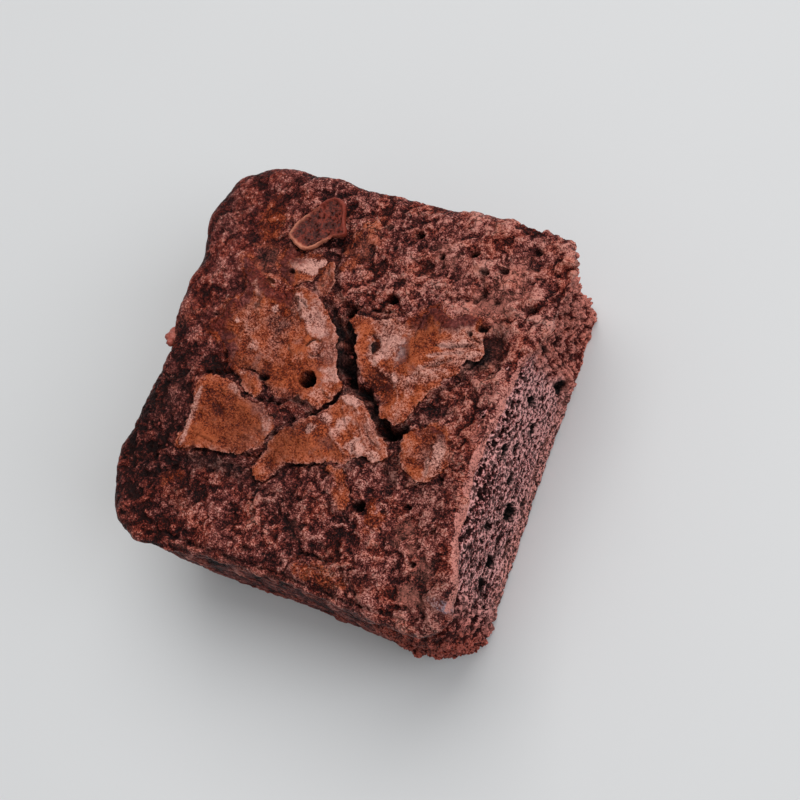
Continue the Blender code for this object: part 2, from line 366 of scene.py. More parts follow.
@dataclass(frozen=True)
class Plate:
    """A plate of smooth skin that the rising crumb broke from its neighbours.

    Args:
        name: Its word in the piece's name.
        rise: How far the crust under it is lifted.
        lift: How far its middle stands off that crust.
        edge: Outline knots: x, y and how far the edge stands off the crust.
        warmth: How orange its brown is, from 0 to 1.
        skin_spots: Patches of pale bloom and painted sheen, and other spots, on it.
        folds: Raised folds and hairline splits in it.
    """

    name: str
    rise: float
    lift: float
    edge: tuple[Point3, ...]
    warmth: float = 0.7
    skin_spots: tuple[Spot, ...] = ()
    folds: tuple[Crack, ...] = ()

    SAMPLES = 420
    RAGGED = 0.42

    @cached_property
    def border(self) -> Array:
        """Outline samples (n, 3): x, y and edge height, a little ragged.

        Returns:
            The samples.
        """
        curve = closed_curve(np.array(self.edge), self.SAMPLES)
        places = xyz(curve[:, 0], curve[:, 1], 0.0)
        for axis, seed in enumerate((61, 62)):
            curve[:, axis] += self.RAGGED * Pattern(seed).rough(places, 1.3, 4, 0.6)
        curve[:, 2] += 0.1 * Pattern(63).rough(places, 1.6, 2)
        return curve

    def near(self, x: Array, y: Array, margin: float) -> Array:
        """Which places lie in the outline's box, grown by the margin."""
        low, high = self.border[:, :2].min(axis=0) - margin, self.border[:, :2].max(axis=0) + margin
        return (x > low[0]) & (x < high[0]) & (y > low[1]) & (y < high[1])

    def measure(self, x: Array, y: Array) -> "Nearness":
        """Measure how places lie to the outline.

        Args:
            x: Places (n) towards the cut side.
            y: Places (n) towards the back.

        Returns:
            Their distances to the outline and what lies nearest there.
        """
        away = np.full(x.shape, FAR)
        index = np.zeros(x.shape, int)
        nearest = np.zeros((*x.shape, 2))
        inside = np.zeros(x.shape, bool)
        lift, weights = np.zeros(x.shape), np.zeros(x.shape)
        for number, (start, end) in enumerate(zip(self.border, np.roll(self.border, -1, axis=0))):
            dx, dy = end[0] - start[0], end[1] - start[1]
            along = ((x - start[0]) * dx + (y - start[1]) * dy) / max(dx * dx + dy * dy, TINY)
            along = np.clip(along, 0, 1)
            spot_x, spot_y = start[0] + along * dx, start[1] + along * dy
            gap = np.hypot(x - spot_x, y - spot_y)
            closer = gap < away
            away = np.where(closer, gap, away)
            index = np.where(closer, number, index)
            nearest[closer, 0] = spot_x[closer]
            nearest[closer, 1] = spot_y[closer]
            weight = 1 / (gap * gap + 0.04) ** 2
            lift += weight * start[2]
            weights += weight
            crosses = (start[1] > y) != (end[1] > y)
            inside ^= crosses & (x < dx * (y - start[1]) / (dy if dy else 1.0) + start[0])
        return Nearness(np.where(inside, away, -away), index, nearest, lift / weights)


@dataclass
class Nearness:
    """How places lie to a plate's outline.

    Args:
        depth: Distance to the outline, negative outside.
        index: The nearest outline sample.
        place: The nearest places (n, 2) on the outline.
        lift: How far the edge stands off the crust near each place.
    """

    depth: Array
    index: Array
    place: Array
    lift: Array


def spots(*rows: tuple[float, ...]) -> tuple[Spot, ...]:
    """Spots from rows of sizes and tones, in the order of Spot's fields."""
    return tuple(Spot(*row) for row in rows)


def cracks(*rows: tuple) -> tuple[Crack, ...]:
    """Cracks from rows of width, depth, run and darkness."""
    return tuple(Crack(*row) for row in rows)


# Steam holes and pits that go down into the crumb: a spot's sizes up to soft, then its darkness, the painted
# shade inside.
HOLES = tuple(Spot(*sizes, darkness=darkness) for *sizes, darkness in (
    (13.5, -5, 3.2, 1.8, 8, -2.6, 0.25, 1), (3.2, 3.3, 1.5, 3, -10, -1.6, 0.35, 1),
    (0.5, 11.3, 1.6, 1.1, 20, -1.4, 0.35, 1), (-1.9, -0.4, 2.7, 2.5, 20, -4, 0.18, 1),
    (12.3, -16.1, 1.7, 1.5, 10, -2.6, 0.25, 1), (6.8, 14.2, 1.7, 1.2, 0, -2.6, 0.25, 1),
    (0.6, 11.1, 2, 1.8, 0, -2, 0.4, 0.9), (7.5, 24.9, 1.5, 0.6, 10, -1.2, 0.4, 0.9),
    (2.1, 25.4, 1.1, 0.7, 0, -1, 0.4, 0.8), (12.1, 22.1, 0.9, 0.8, 0, -1.2, 0.4, 0.9),
    (17.1, 23.4, 1.3, 1, 30, -1.3, 0.4, 0.9), (19.5, 20.9, 1.2, 0.8, 0, -1.2, 0.4, 0.9),
    (21.9, 21.8, 1.6, 0.8, 0, -1.2, 0.4, 0.8), (26, 25.5, 1.4, 1, 0, -1.2, 0.4, 0.8),
    (27.8, 17.1, 1.1, 0.9, 0, -1.2, 0.4, 0.8), (21.5, 12.9, 1.5, 1, 20, -1.6, 0.4, 1),
    (20.1, 11.7, 0.7, 0.6, 0, -0.8, 0.4, 0.8), (22.3, 17.2, 0.9, 0.8, 0, -1, 0.4, 0.8),
    (22.7, -21.8, 1, 0.9, 0, -1.4, 0.35, 0.9), (19.5, -14.4, 1.3, 0.6, 0, -1, 0.4, 0.9),
    (24.1, -16.6, 1, 0.8, 60, -0.9, 0.4, 0.7), (14.5, -10.6, 0.9, 0.7, 0, -0.9, 0.4, 0.8),
    (22.8, -9.4, 0.9, 0.5, 0, -0.7, 0.4, 0.7), (25.5, 0.7, 0.9, 0.8, 0, -0.9, 0.4, 0.8),
    (-10.7, 15.3, 1.1, 0.6, 0, -0.7, 0.4, 0.8), (-14, 13.3, 1.7, 0.6, -20, -0.8, 0.4, 0.8),
    (-17.4, 0.6, 1.4, 0.9, 90, -0.9, 0.4, 0.8), (-21.7, 6.5, 1.1, 0.6, 0, -0.6, 0.4, 0.7),
    (-9.4, -1.6, 1.8, 0.8, 10, -1.2, 0.4, 1), (-22.9, -17.3, 1, 0.9, 0, -0.7, 0.4, 0.8),
    (-3, -26.4, 1.1, 0.9, 0, -0.8, 0.4, 0.8)))

# Soft lumps and dips of the crust: a spot's sizes, warmth, bloom with painted sheen and light, and darkness,
# the painted shade in dips and over the darker left side.
MOUNDS = spots(
    (-1.3, 21.7, 9, 4.4, 78, 0.55, 0.5, 0.55, 0.25), (-17.7, 22.9, 5, 8, 10, 0.25, 0.6, 0.45),
    (9.3, -26.9, 9, 3, -7, 0.35, 0.6, 0.55, 0.15), (14.5, -16.7, 1.6, 5.4, 12, 0.35, 0.5, 0.8, 0.1),
    (16.1, -17.3, 2, 2.4, 0, 0.3, 0.5, 0.35, 0.15), (10.9, -11.9, 4.2, 4, 0, 0.35, 0.5, 0.25),
    (24.3, 10.9, 3, 7, 0, -0.45, 0.6, -0.5, 0, 0.5), (-23.2, -9.1, 6, 12, 0, -0.25, 0.7, -0.2),
    (-25.7, -24.1, 6, 8, 30, -0.1, 0.7, -0.15), (11.3, 24.9, 12, 6, 0, 0.25, 0.6, 0.15, 0.1),
    (4.8, 19.4, 6, 5, 20, 0.35, 0.5, 0.2, 0.15), (10.3, 17.9, 7, 3.4, 25, 0.35, 0.5, 0.25, 0.2),
    (17.3, 18.4, 5, 3, -30, 0.3, 0.5, 0.2, 0.2), (24.8, -24.6, 6, 4, -30, 0.3, 0.6, 0.1, 0.1),
    (20.8, -20.1, 7, 5, 0, 0.2, 0.6, 0.15), (-11.7, -20.6, 7, 4, 0, 0.2, 0.6, 0.1, 0.1),
    (4.3, -17.1, 7, 5, 0, 0.25, 0.6, 0.1, 0.1), (-18.7, -19.6, 5, 2.6, 20, 0.3, 0.5, 0.35),
    (-28.6, 1.2, 2.6, 2, 0, 0.5, 0.4, 0.6, 0.5), (28.3, -25.9, 4.4, 1.7, -15, 0.25, 0.5, -1.7),
    (-1.5, -29.3, 34, 1.2, -1.5, 0.15, 0.5, 0.25, 0.3), (-24.7, -8.6, 7, 13, 0, -0.3, 0.7, 0, 0, 0.4),
    (-24, 6.8, 9, 15, 0, -0.15, 0.7, 0.28), (-23.7, -17.6, 8, 8, 0, -0.2, 0.7, 0, 0, 0.35),
    (-8.7, -16.1, 10, 4, 5, -0.2, 0.7, 0, 0, 0.35), (-6.7, 20.4, 12, 3, 0, -0.1, 0.7, 0, 0, 0.2),
    (-19.7, -1.1, 6, 3, 10, -0.2, 0.7, 0, 0, 0.3), (23.3, 3.9, 4, 9, -8, -0.3, 0.7, 0, 0, 0.12),
    (22.8, -9.4, 6, 15, 0, -0.1, 0.7, 0, 0, 0.22), (15.5, -9.7, 2.6, 6, 12, -0.3, 0.6, 0, 0, 0.65),
    (19.8, -11.6, 6, 2.2, 0, -0.3, 0.6, 0, 0, 0.35), (18.6, -0.8, 6, 3, 30, -0.2, 0.6, 0, 0, 0.35),
    (-12.9, -15.9, 12, 3, -2, -0.4, 0.6, 0, 0, 0.8), (-15.9, -21.6, 5, 4, 0, -0.1, 0.7, 0, 0, 0.4),
    (-27, -14.6, 5, 9, 0, 0, 0.7, 0.1, 0, 0.25), (-25.4, 23.5, 7, 9, 0, 0, 0.7, 0.1, 0, 0.22),
    (4.2, -21.6, 5, 4, 0, 0.1, 0.6, 0, 0.25), (24.2, -21.6, 3.6, 5, 0, 0.1, 0.6, 0, 0.4),
    (24, -26.4, 4.6, 3, -10, 0.1, 0.6, 0, 0.4), (25.6, -1.8, 2.4, 6, 0, 0.1, 0.6, 0, 0.35),
    (-2.2, -18.4, 7, 3.6, 0, -0.1, 0.7, 0.2, 0, 0.25), (15.2, -25.9, 11, 3, -8, -0.1, 0.7, 0.15, 0, 0.25),
    (27, -25, 5, 9, 0, 0, 0.6, 0, 0, 0.35), (24.2, -26.3, 4, 3, -20, 0.1, 0.6, 0, 0.4),
    (20.3, -18.2, 5, 4.6, 0, 0.1, 0.6, 0.2, 0.5), (24.3, 19.9, 6.4, 9, -10, 0.1, 0.6, 0, 0.55),
    (12.3, 22.3, 5, 4, 0, 0.1, 0.6, 0, 0.5), (20.1, 14.9, 6, 3.6, 20, 0.1, 0.6, 0, 0.55),
    (0.4, 22.6, 4, 5, 0, 0.1, 0.6, 0.15, 0.2), (-16.5, 15.9, 8, 7, -30, 0.1, 0.6, 0.3, 0.35),
    (18, 15, 14, 9, 0, 0, 0.8, 0, 0.15), (24.4, 6, 5, 6, 0, 0, 0.7, 0, 0.35),
    (-28, 6, 4, 7, 0, 0, 0.7, 0.2, 0.3))

# Cracks between the plates and creases in the crumb: width, depth, run and, under 1, darkness, the painted
# shade on the floor.
CRACKS = cracks(
    (2.1, 2.04, ((0.6, 11.1), (1.1, 8.4), (2.1, 6.9), (2.8, 5.5))),
    (2.7, 2.38, ((2.7, 6.3), (2.9, 4.9), (3.3, 3.9), (4.1, 2.4), (4.6, 0.9))),
    (1.8, 2.04, ((4.6, 1.1), (5.8, -0.4), (7.3, -0.1), (8.8, -1.1), (10.3, -2.9), (11.8, -4.3))),
    (2.3, 2.55, ((11.8, -4.3), (12.7, -5), (13.5, -5.1), (14.6, -4.4), (15.1, -3.6))),
    (1.1, 1.08, ((4.3, 0.1), (3.3, -1.6), (2.3, -3.3), (0.8, -5.1), (-0.1, -5.1))),
    (0.65, 0.66, ((-7, 14.4), (-5.7, 13.1), (-4.2, 12.1), (-2.5, 11.4), (-1.2, 9.9), (0, 8.7)), 0.65),
    (1.53, 0.77, ((-4.4, 18.9), (-3.7, 16.7), (-2.9, 14.4), (-2.2, 13.4), (-0.1, 11.7)), 0.56),
    (0.72, 0.84, ((0.3, -4.4), (-1.7, -3.9), (-4, -3.9), (-5.2, -4.9), (-7.2, -4.7), (-9.2, -4.9),
        (-11.2, -4.6), (-12.2, -3.6), (-13.7, -2.4), (-15.7, -1.9), (-17.7, -2.3), (-19.7, -2.7),
        (-21, -3.4)), 0.84),
    (0.65, 0.66, ((-8.5, -3.1), (-9.2, -1.9), (-10.5, -1.1), (-12.2, -0.7), (-13.7, -0.6)), 0.74),
    (0.65, 0.78, ((-0.2, -4.9), (-1.7, -5.9), (-3.2, -7.4), (-4.3, -8.6), (-4.7, -10.3), (-5.3, -12.1),
        (-6.2, -13.6), (-7.7, -13.3)), 0.84),
    (0.58, 0.54, ((-7.7, -13.5), (-9.7, -13.5), (-11.7, -14.1), (-14.7, -14.2), (-16.7, -14.6)), 0.74),
    (0.58, 0.66, ((-2.9, -15.9), (-2, -14.9), (-1.2, -13.6), (0.3, -12.9), (2.8, -12.3), (4.8, -11.3),
        (6.8, -10.9), (7.5, -11.1)), 0.84),
    (0.65, 0.54, ((-5.5, -16.3), (-4.7, -17.4), (-3.7, -17.3)), 0.74),
    (0.65, 0.6, ((8.6, -10.6), (9, -9.9), (10.3, -9.1), (11.3, -9.3)), 0.84),
    (0.86, 0.48, ((-23.7, -20.4), (-21.7, -20.1), (-20.5, -18.9), (-19, -17.9), (-17.2, -17.3)), 0.56),
    (0.58, 0.48, ((-10.2, -17.1), (-8.9, -16.8), (-7.7, -17.4), (-6.5, -17.9), (-4.7, -18)), 0.74),
    (0.5, 0.36, ((-14.7, -18.7), (-12.7, -18.4)), 0.56),
    (0.58, 0.42, ((-4.9, -18.1), (-4.2, -19.6), (-3.5, -21.1), (-2.7, -22.6)), 0.56),
    (0.5, 0.36, ((-7.5, -20.9), (-6.5, -22.1), (-5.5, -23.1)), 0.46),
    (0.58, 0.78, ((5.8, -24.7), (8.1, -24.5), (10.3, -24.9)), 0.9),
    (0.72, 0.54, ((8.3, -22.6), (12.3, -25.1), (15.3, -27.1), (17.3, -29.1)), 0.65),
    (0.43, 0.36, ((4.3, -25.3), (7.3, -26), (10.3, -26.1)), 0.56),
    (0.58, 0.42, ((-13.2, -28.5), (-9.7, -28.1), (-7.2, -27.9), (-6.7, -28.3)), 0.74),
    (0.7, 0.5, ((-19, -27.7), (-12, -28.2), (-4, -28.3), (3, -28.5), (10, -28.8), (16, -29.3)), 0.8),
    (0.6, 0.4, ((17, -29), (21, -29.2), (25, -29), (27.5, -27.6)), 0.6),
    (0.72, 0.72, ((19.3, 19.9), (20.3, 17.9), (19.3, 16.4)), 0.46),
    (0.65, 0.48, ((-0.1, 11.8), (2.8, 12.1), (6.8, 12.1), (9.8, 12.9), (11.8, 14.5)), 0.65),
    (0.65, 0.54, ((21.9, 8.1), (20.7, 6.3), (20.5, 4.1), (18.3, 2.5), (16.7, 0.1), (15.9, -2.1)), 0.65),
    (0.5, 0.42, ((14.9, -4.5), (15.2, -6.3), (15.9, -8.7), (17.5, -10.7), (19.7, -11.3)), 0.65),
    (0.65, 0.42, ((5.3, 21.9), (7.8, 20.9), (9.3, 20.5), (12.8, 20.7)), 0.46),
    (0.58, 0.36, ((12.3, 16.5), (15.3, 15.9), (18.3, 16.5)), 0.46))

# The plates of skin, from the large ones on the left and right to the small ones at the back.
PLATES = (
    Plate("west", 0.4, 0.2, (
        (-20, 16.3, -0.15), (-16.5, 14.6, -0.1), (-13, 12.1, -0.15), (-10.5, 11.8, 0), (-7.5, 13.1, 0.25),
        (-4.5, 12, 0.35), (-1.5, 9.3, 0.4), (0.2, 7.2, 0.4), (1.1, 4.4, 0.4), (2.5, 1.3, 0.35),
        (3.7, 0.6, 0.3), (3.8, -0.7, 0.25), (2.5, -2.8, 0.3), (1.4, -4.4, 0.25), (0.2, -3.7, 0.3),
        (-1.9, -3.3, 0.35), (-4.5, -3.8, 0.3), (-6.5, -4.1, 0.3), (-8.1, -2.8, 0.2), (-10.5, -1, 0.2),
        (-13.5, -0.8, 0.1), (-16, -0.9, 0), (-17.7, 1.8, -0.05), (-21.5, 4.2, -0.15), (-20.1, 6.2, -0.15),
        (-19.5, 8.8, -0.15), (-17.7, 10, -0.1), (-17.8, 12, -0.1)), 0.7, spots(
        (-5.8, 9.3, 7.2, 2, -49, 0.14, 0.35, 0, 1), (-3.6, 8.7, 7.5, 2.8, -55, 0, 0.5, -0.6, 0.7),
        (-11, 5, 12, 10, -20, 0, 0.8, 0, 0.28), (-15.6, 8, 8, 13, 10, 0, 0.8, 0, 0.34),
        (-12, -2.6, 8, 6, 0, 0, 0.6, 0, 0, 0.5), (-8.2, 10.4, 3.4, 3, -40, 0, 0.7, 0, 0.35),
        (-0.4, 5, 6.5, 4, -65, 0, 0.5, -0.8, 0.35), (-2.2, 4.6, 2.6, 2.6, 0, 0.1, 0.5, 0, 0.6),
        (1.9, 1.1, 3.6, 3, 0, 0.08, 0.5, -0.3, 0.8), (1, -2.4, 3.4, 3, 0, 0, 0.5, 0, 0.5),
        (-11.2, 9.1, 1.5, 1.2, 0, 0.2, 0.4, 0, 1), (-9.6, 8.9, 1.8, 1.4, 0, -0.4, 0.5, 0, 0, 0.45),
        (-16.9, 5.9, 0.8, 0.7, 0, 0.1, 0.4, 0, 1), (-12.7, 2.7, 2.6, 1.8, 0, 0.08, 0.6, 0, 0.55),
        (-16.3, 1.3, 3, 1.4, -55, 0.1, 0.5, -0.5, 0.6), (-15.8, 12.2, 4.2, 2, -52, 0.2, 0.45, 0, 0.9),
        (-17.9, 14.4, 4.5, 2.4, -60, 0.15, 0.5, 0.5), (-20.3, 8.2, 1.3, 1.3, 0, 0.15, 0.5, 0, 0.75),
        (-5.7, -3.2, 3.8, 1.4, 0, 0.1, 0.5, 0.9, 0.25), (-8.4, 8.1, 3, 5.5, -45, -0.1, 0.6, 0, 0, 0.22),
        (-12.5, 6.4, 4, 2.4, 10, -0.1, 0.6, 0, 0, 0.15), (-18.3, 3.4, 3.4, 2.6, 0, -0.1, 0.6, 0, 0, 0.22),
        (-4.5, 2.4, 3.4, 2, 20, 0.1, 0.6, 0, 0.25),
        (-14.5, 9.2, 0.7, 1.6, -20, -0.2, 0.4, 0, 0, 0.6)), cracks(
        (0.5, 0.45, ((-3.8, 4.5), (-3.4, 5.5), (-2.7, 5.8), (-2.1, 5.7))),
        (0.4, 0.35, ((-3, 3.4), (-2.2, 3.1), (-1.5, 3.6)), 0.8),
        (0.9, -0.3, ((-1.2, 5.7), (-0.7, 4.4), (-1.4, 3.2), (-2.7, 2.8)), 0),
        (0.35, 0.3, ((-8.1, 11.4), (-6.9, 10.8), (-5.9, 10.2)), 0.7),
        (0.35, 0.25, ((-7.1, 4.2), (-6.7, 3.4), (-6.1, 3)), 0.7),
        (0.9, -0.3, ((-8.5, 12), (-7.1, 10.2), (-5.9, 8.2), (-4.5, 6.7), (-3.4, 6.3)), 0),
        (0.6, -0.15, ((-0.9, 8.4), (0.3, 5.8), (1.3, 3)), 0),
        (0.4, 0.3, ((0.9, -1.4), (1.7, -2.2), (2.9, -2.4)), 0.7),
        (0.4, 0.3, ((-14.7, 10), (-14.1, 8.8), (-13.5, 8.6)), 0.6))),
    Plate("east", 0.5, 0.2, (
        (1.3, 10.6, 0.3), (3.5, 11, 0.3), (7, 10.8, 0.2), (9.5, 11.3, 0.15), (11.7, 12.4, 0),
        (13.7, 14.4, -0.1), (15.5, 13.6, -0.1), (17.5, 13.2, 0), (20.5, 14.6, 0), (21.9, 12.2, 0.25),
        (22.9, 10, 0.35), (22.8, 8.7, 0.4), (20.9, 7.3, 0.35), (20.4, 5.4, 0.3), (19.1, 4.1, 0.25),
        (17.5, 2.2, 0.25), (16.1, -0.2, 0.25), (15.3, -2.7, 0.25), (13.7, -3.7, 0.3), (11.9, -3.4, 0.35),
        (10.7, -2, 0.3), (10.3, -0.5, 0.15), (8.5, 0.7, 0.1), (6.3, 1.9, 0.25), (5.2, 3.3, 0.4),
        (4.3, 5.3, 0.4), (3.6, 7.4, 0.4), (2.5, 9, 0.4), (1.4, 9.7, 0.35)), 0.8, spots(
        (8.4, 7.5, 5, 6.4, -25, -0.18, 0.35, -0.5, 0.65), (12.6, 4.6, 13, 14, -10, 0, 0.8, 0, 0.08),
        (8.2, 10.2, 7, 3.2, 0, 0, 0.6, 0, 0.65), (19.9, 9.6, 6, 8, 0, 0, 0.7, 0, 0.62),
        (10.1, 10, 4.4, 1.8, 10, 0, 0.5, 0, 0.6), (11.4, 6.8, 2.2, 3.8, 10, -0.12, 0.8, -1.7, 0.1),
        (8, 4.8, 1.3, 2.4, -20, 0.12, 0.4, 0, 1), (13.7, 10, 3.6, 7, -12, 0.2, 0.6, 0.6, 0, 0.22),
        (18.5, 12.4, 5.6, 3.4, 15, 0.12, 0.5, -0.3, 0.7), (18.9, 9.7, 6, 1, 20, 0.22, 0.4, 0, 0.95),
        (18.1, 8, 7, 0.9, 24, 0.18, 0.4, 0, 0.8), (21.5, 8.8, 2.6, 1.2, 25, 0.3, 0.4, 0, 1),
        (16.8, 6.4, 5.4, 1, 36, 0.18, 0.5, 0, 0.65), (16.1, 4.1, 7.5, 2.4, 28, 0.05, 0.5, 0, 0.6),
        (12.7, 2.2, 5.4, 2.2, -20, 0.12, 0.5, 0, 0.55), (11.5, 2.7, 1.8, 0.8, -45, 0.15, 0.4, 0, 1),
        (13.9, -1.4, 3.4, 3.4, 0, 0.12, 0.5, 0, 0.4), (6.6, 7, 1.3, 3, -40, -0.25, 0.4, 0, 0, 0.4),
        (8.9, 1.7, 4, 1.6, -38, -0.1, 0.5, 0, 0, 0.25), (4.1, 8.8, 3, 2, -50, 0.12, 0.5, 0.5),
        (21.5, 11.4, 1.2, 1.6, 0, 0.15, 0.4, 0.9)), cracks(
        (0.5, 0.4, ((15.7, 8.7), (18.1, 9.1), (19.9, 9.7), (21.1, 10.2)), 0.55),
        (0.5, 0.35, ((15.9, 7.3), (17.9, 7.8), (20.1, 8.7)), 0.4),
        (0.5, 0.35, ((15.4, 5.2), (16.9, 6), (18.7, 7.2)), 0.4),
        (0.9, -0.3, ((5.9, 9.2), (7.1, 8.4), (7.9, 6.8), (7.5, 5.2), (8.7, 3.7), (10.3, 3)), 0),
        (0.5, 0.4, ((5.7, 8.4), (6.7, 7.6), (7.3, 6.7), (6.7, 5.8)), 0.7),
        (0.8, -0.25, ((9.1, 3.2), (11.1, 2.7), (12.5, 1), (13.1, -0.8)), 0),
        (0.7, -0.25, ((14.1, 2.8), (15.9, 3.4), (17.7, 4.8), (19.9, 5.6)), 0),
        (0.5, 0.3, ((12.4, 12.6), (12.1, 10.2), (12.7, 8.2)), 0.35),
        (0.5, 0.3, ((15.9, 13.6), (15.7, 11.4), (16.1, 10)), 0.4),
        (0.45, 0.3, ((19.7, 11.8), (20.5, 11), (21.9, 10.8)), 0.6))),
    Plate("south_west", 0.4, 0.18, (
        (-19.7, -4.2, 0.2), (-18.7, -3.3, 0.2), (-16.5, -3, 0.25), (-14.5, -3.2, 0.25), (-13, -3.8, 0.25),
        (-11.8, -5, 0.25), (-10.5, -5.5, 0.25), (-8.5, -5.5, 0.25), (-6.8, -6.3, 0.3), (-5.1, -7.4, 0.3),
        (-4.6, -9.2, 0.3), (-5.3, -11.2, 0.3), (-6.5, -12.3, 0.25), (-8.5, -13.3, 0.25), (-11, -13.8, 0.2),
        (-13.5, -14.1, 0.2), (-16, -14.3, 0.15), (-18.3, -15.1, 0.1), (-19.9, -14.8, 0.1),
        (-20.1, -13.2, 0.15), (-19.5, -10.8, 0.2), (-19.3, -8.2, 0.2), (-19.6, -6.2, 0.2)), 0.75, spots(
        (-18.8, -10, 9.6, 1, 88, 0.2, 0.4, -0.6, 0.65), (-5.6, -8.4, 2, 2.8, 20, 0.1, 0.5, -0.5, 0.5),
        (-7.5, -6.4, 5.4, 2.4, -30, 0.05, 0.6, -0.9, 0.2), (-7, -11.2, 4.8, 2.6, 30, 0, 0.6, -0.4, 0.25),
        (-13.1, -4.1, 3.4, 1.4, -20, 0.1, 0.5, -0.5, 0.5), (-16.5, -6.2, 1.6, 0.8, 20, 0.05, 0.5, 0.9),
        (-12, -9, 13, 9, 0, 0, 0.7, 0, 0, 0.26), (-14, -8.8, 5, 3.6, 10, -0.14, 0.6, 0, 0, 0.26),
        (-11, -11.6, 4.4, 1.8, 0, -0.1, 0.6, 0, 0, 0.2),
        (-10.3, -7.4, 2.2, 1.6, 30, -0.05, 0.6, 0, 0, 0.22),
        (-15.9, -11.8, 3.2, 2, 0, 0.06, 0.6, 0.3)), cracks(
        (0.35, 0.25, ((-18.5, -5.4), (-17.8, -5.4), (-17.3, -5.8)), 0.6),
        (0.35, 0.22, ((-16.1, -4.4), (-15.5, -5.1), (-14.5, -5.2)), 0.6),
        (0.35, 0.22, ((-18.1, -7.8), (-16.7, -8.1), (-15.9, -7.8)), 0.4),
        (0.35, 0.22, ((-18.3, -12.8), (-16.3, -12.6), (-14.1, -13)), 0.3))),
    Plate("chip", 0.45, 0.2, (
        (-14.1, -1.3, 0.1), (-12.1, -1.1, 0.2), (-10.5, -2, 0.2), (-9, -3, 0.25), (-8.7, -4.2, 0.25),
        (-10, -4.7, 0.2), (-11.7, -4.1, 0.2), (-13, -2.9, 0.15)), 0.6, spots(
        (-13, -1.5, 1.4, 0.9, 0, 0.1, 0.5, 0, 0.7))),
    Plate("south", 0.45, 0.2, (
        (5.7, -0.9, 0.35), (7.3, -1.2, 0.4), (8.5, -2.4, 0.4), (10, -3.7, 0.4), (11.2, -5.2, 0.4),
        (13, -6, 0.35), (13.9, -7.2, 0.3), (14, -8.9, 0.3), (12.9, -9.7, 0.3), (11.5, -9.4, 0.3),
        (10.3, -9.2, 0.35), (9, -10, 0.35), (8.3, -11, 0.3), (6.5, -11.1, 0.3), (5, -11.5, 0.3),
        (3, -12.2, 0.3), (0.5, -12.8, 0.3), (-1.1, -13.4, 0.3), (-2.2, -14.7, 0.3), (-3, -16.2, 0.25),
        (-4.5, -16.6, 0.2), (-5.5, -15.7, 0.25), (-5.3, -14, 0.3), (-4.5, -12.2, 0.3), (-4.1, -10.2, 0.3),
        (-3, -8.4, 0.3), (-1.5, -7, 0.3), (0.2, -6, 0.3), (1.8, -5.4, 0.25), (2.7, -4.2, 0.3),
        (3.8, -2.4, 0.35), (4.7, -1.3, 0.35)), 0.75, spots(
        (6.2, -1.8, 3.4, 1.6, -15, 0.15, 0.4, -0.7, 0.85), (5.8, -6, 2.2, 4, -25, 0.12, 0.45, 0, 0.85),
        (9.3, -8.4, 3.6, 2.4, -30, 0.12, 0.45, 0, 1), (12.3, -8.9, 3, 1.7, -20, 0.12, 0.45, 0, 1),
        (3.1, -5.2, 2.4, 1.6, -30, 0.1, 0.5, 0, 0.75), (1.4, -7.3, 1.4, 1.7, -40, 0.1, 0.5, 0, 0.75),
        (11.3, -6.5, 6.4, 3, -35, 0.1, 0.5, -0.5, 0.45), (7.5, -4.4, 5.4, 4, -40, 0.1, 0.5, -0.2, 0.35),
        (6.9, -9.8, 4, 1.6, -10, -0.1, 0.5, 0, 0, 0.2), (4.5, -8.8, 3, 1.6, -10, 0, 0.5, -0.6, 0, 0.15),
        (-2.4, -10.2, 7, 6, 30, 0, 0.8, 0.2, 0, 0.38),
        (-4.1, -15, 1.8, 2.4, -20, 0.1, 0.6, 0, 0.25)), cracks(
        (0.7, -0.28, ((2.5, -4.8), (3.9, -6.2), (5.5, -7.8), (7.7, -9.6)), 0),
        (0.6, -0.28, ((7.1, -2.4), (8.3, -4.6), (10.1, -7), (12.7, -9)), 0),
        (0.6, -0.22, ((8.9, -3.1), (10.5, -5.1), (13.1, -7.1)), 0),
        (0.5, 0.3, ((4.9, -3.6), (6.3, -5.6), (7.9, -7.2)), 0.35),
        (0.4, 0.25, ((9.5, -5.2), (11.1, -7), (13.1, -7.8)), 0.35),
        (0.4, 0.25, ((3.9, -7.4), (5.1, -8.6), (5.9, -9.8)), 0.35))),
    Plate("drop", 0.5, 0.2, (
        (5.7, -11.8, 0.15), (7.1, -11.6, 0.2), (8.5, -12.1, 0.15), (9.7, -13.2, 0.15), (10.5, -15, 0.15),
        (10.7, -16.6, 0.2), (10.1, -17.4, 0.2), (8.9, -17, 0.2), (8, -15.7, 0.15), (8, -14.2, 0.1),
        (7, -13.1, 0.1), (5.9, -12.6, 0.1)), 0.9, spots(
        (9.1, -14.6, 1.2, 2.4, 20, 0.08, 0.5, 0, 0.3))),
    Plate("south_east", 0.3, 0.16, (
        (15.8, -4.8, 0.1), (17.5, -3.4, 0.05), (19.5, -2.4, 0), (21.1, -2.8, 0.05), (22.3, -4.2, 0.1),
        (22.9, -5.9, 0.15), (23, -7.7, 0.15), (22.3, -9.4, 0.15), (20.8, -10.5, 0.2), (19.2, -10.6, 0.2),
        (17.7, -9.9, 0.2), (16.6, -8.6, 0.2), (15.8, -6.9, 0.2)), 0.95, spots(
        (21.5, -6.2, 1.8, 6.4, 8, 0.15, 0.5, -0.3, 0.75), (20.5, -8.4, 1, 3, 12, 0.1, 0.5, 0, 0.65),
        (18.7, -3.4, 3.4, 1.6, 0, 0.1, 0.5, 0, 0.35), (18.9, -6.8, 6, 6.4, 0, 0.05, 0.7, 0.2, 0.25),
        (19.1, -5.8, 1.6, 3, 20, -0.05, 0.6, 0, 0, 0.1)), cracks(
        (0.7, -0.22, ((20.5, -4.4), (20.9, -7.2), (21.7, -9.6)), 0),
        (0.45, 0.25, ((19.9, -4.6), (20.1, -7.2), (20.7, -9.6)), 0.35))),
    Plate("north", 0.35, 0.2, (
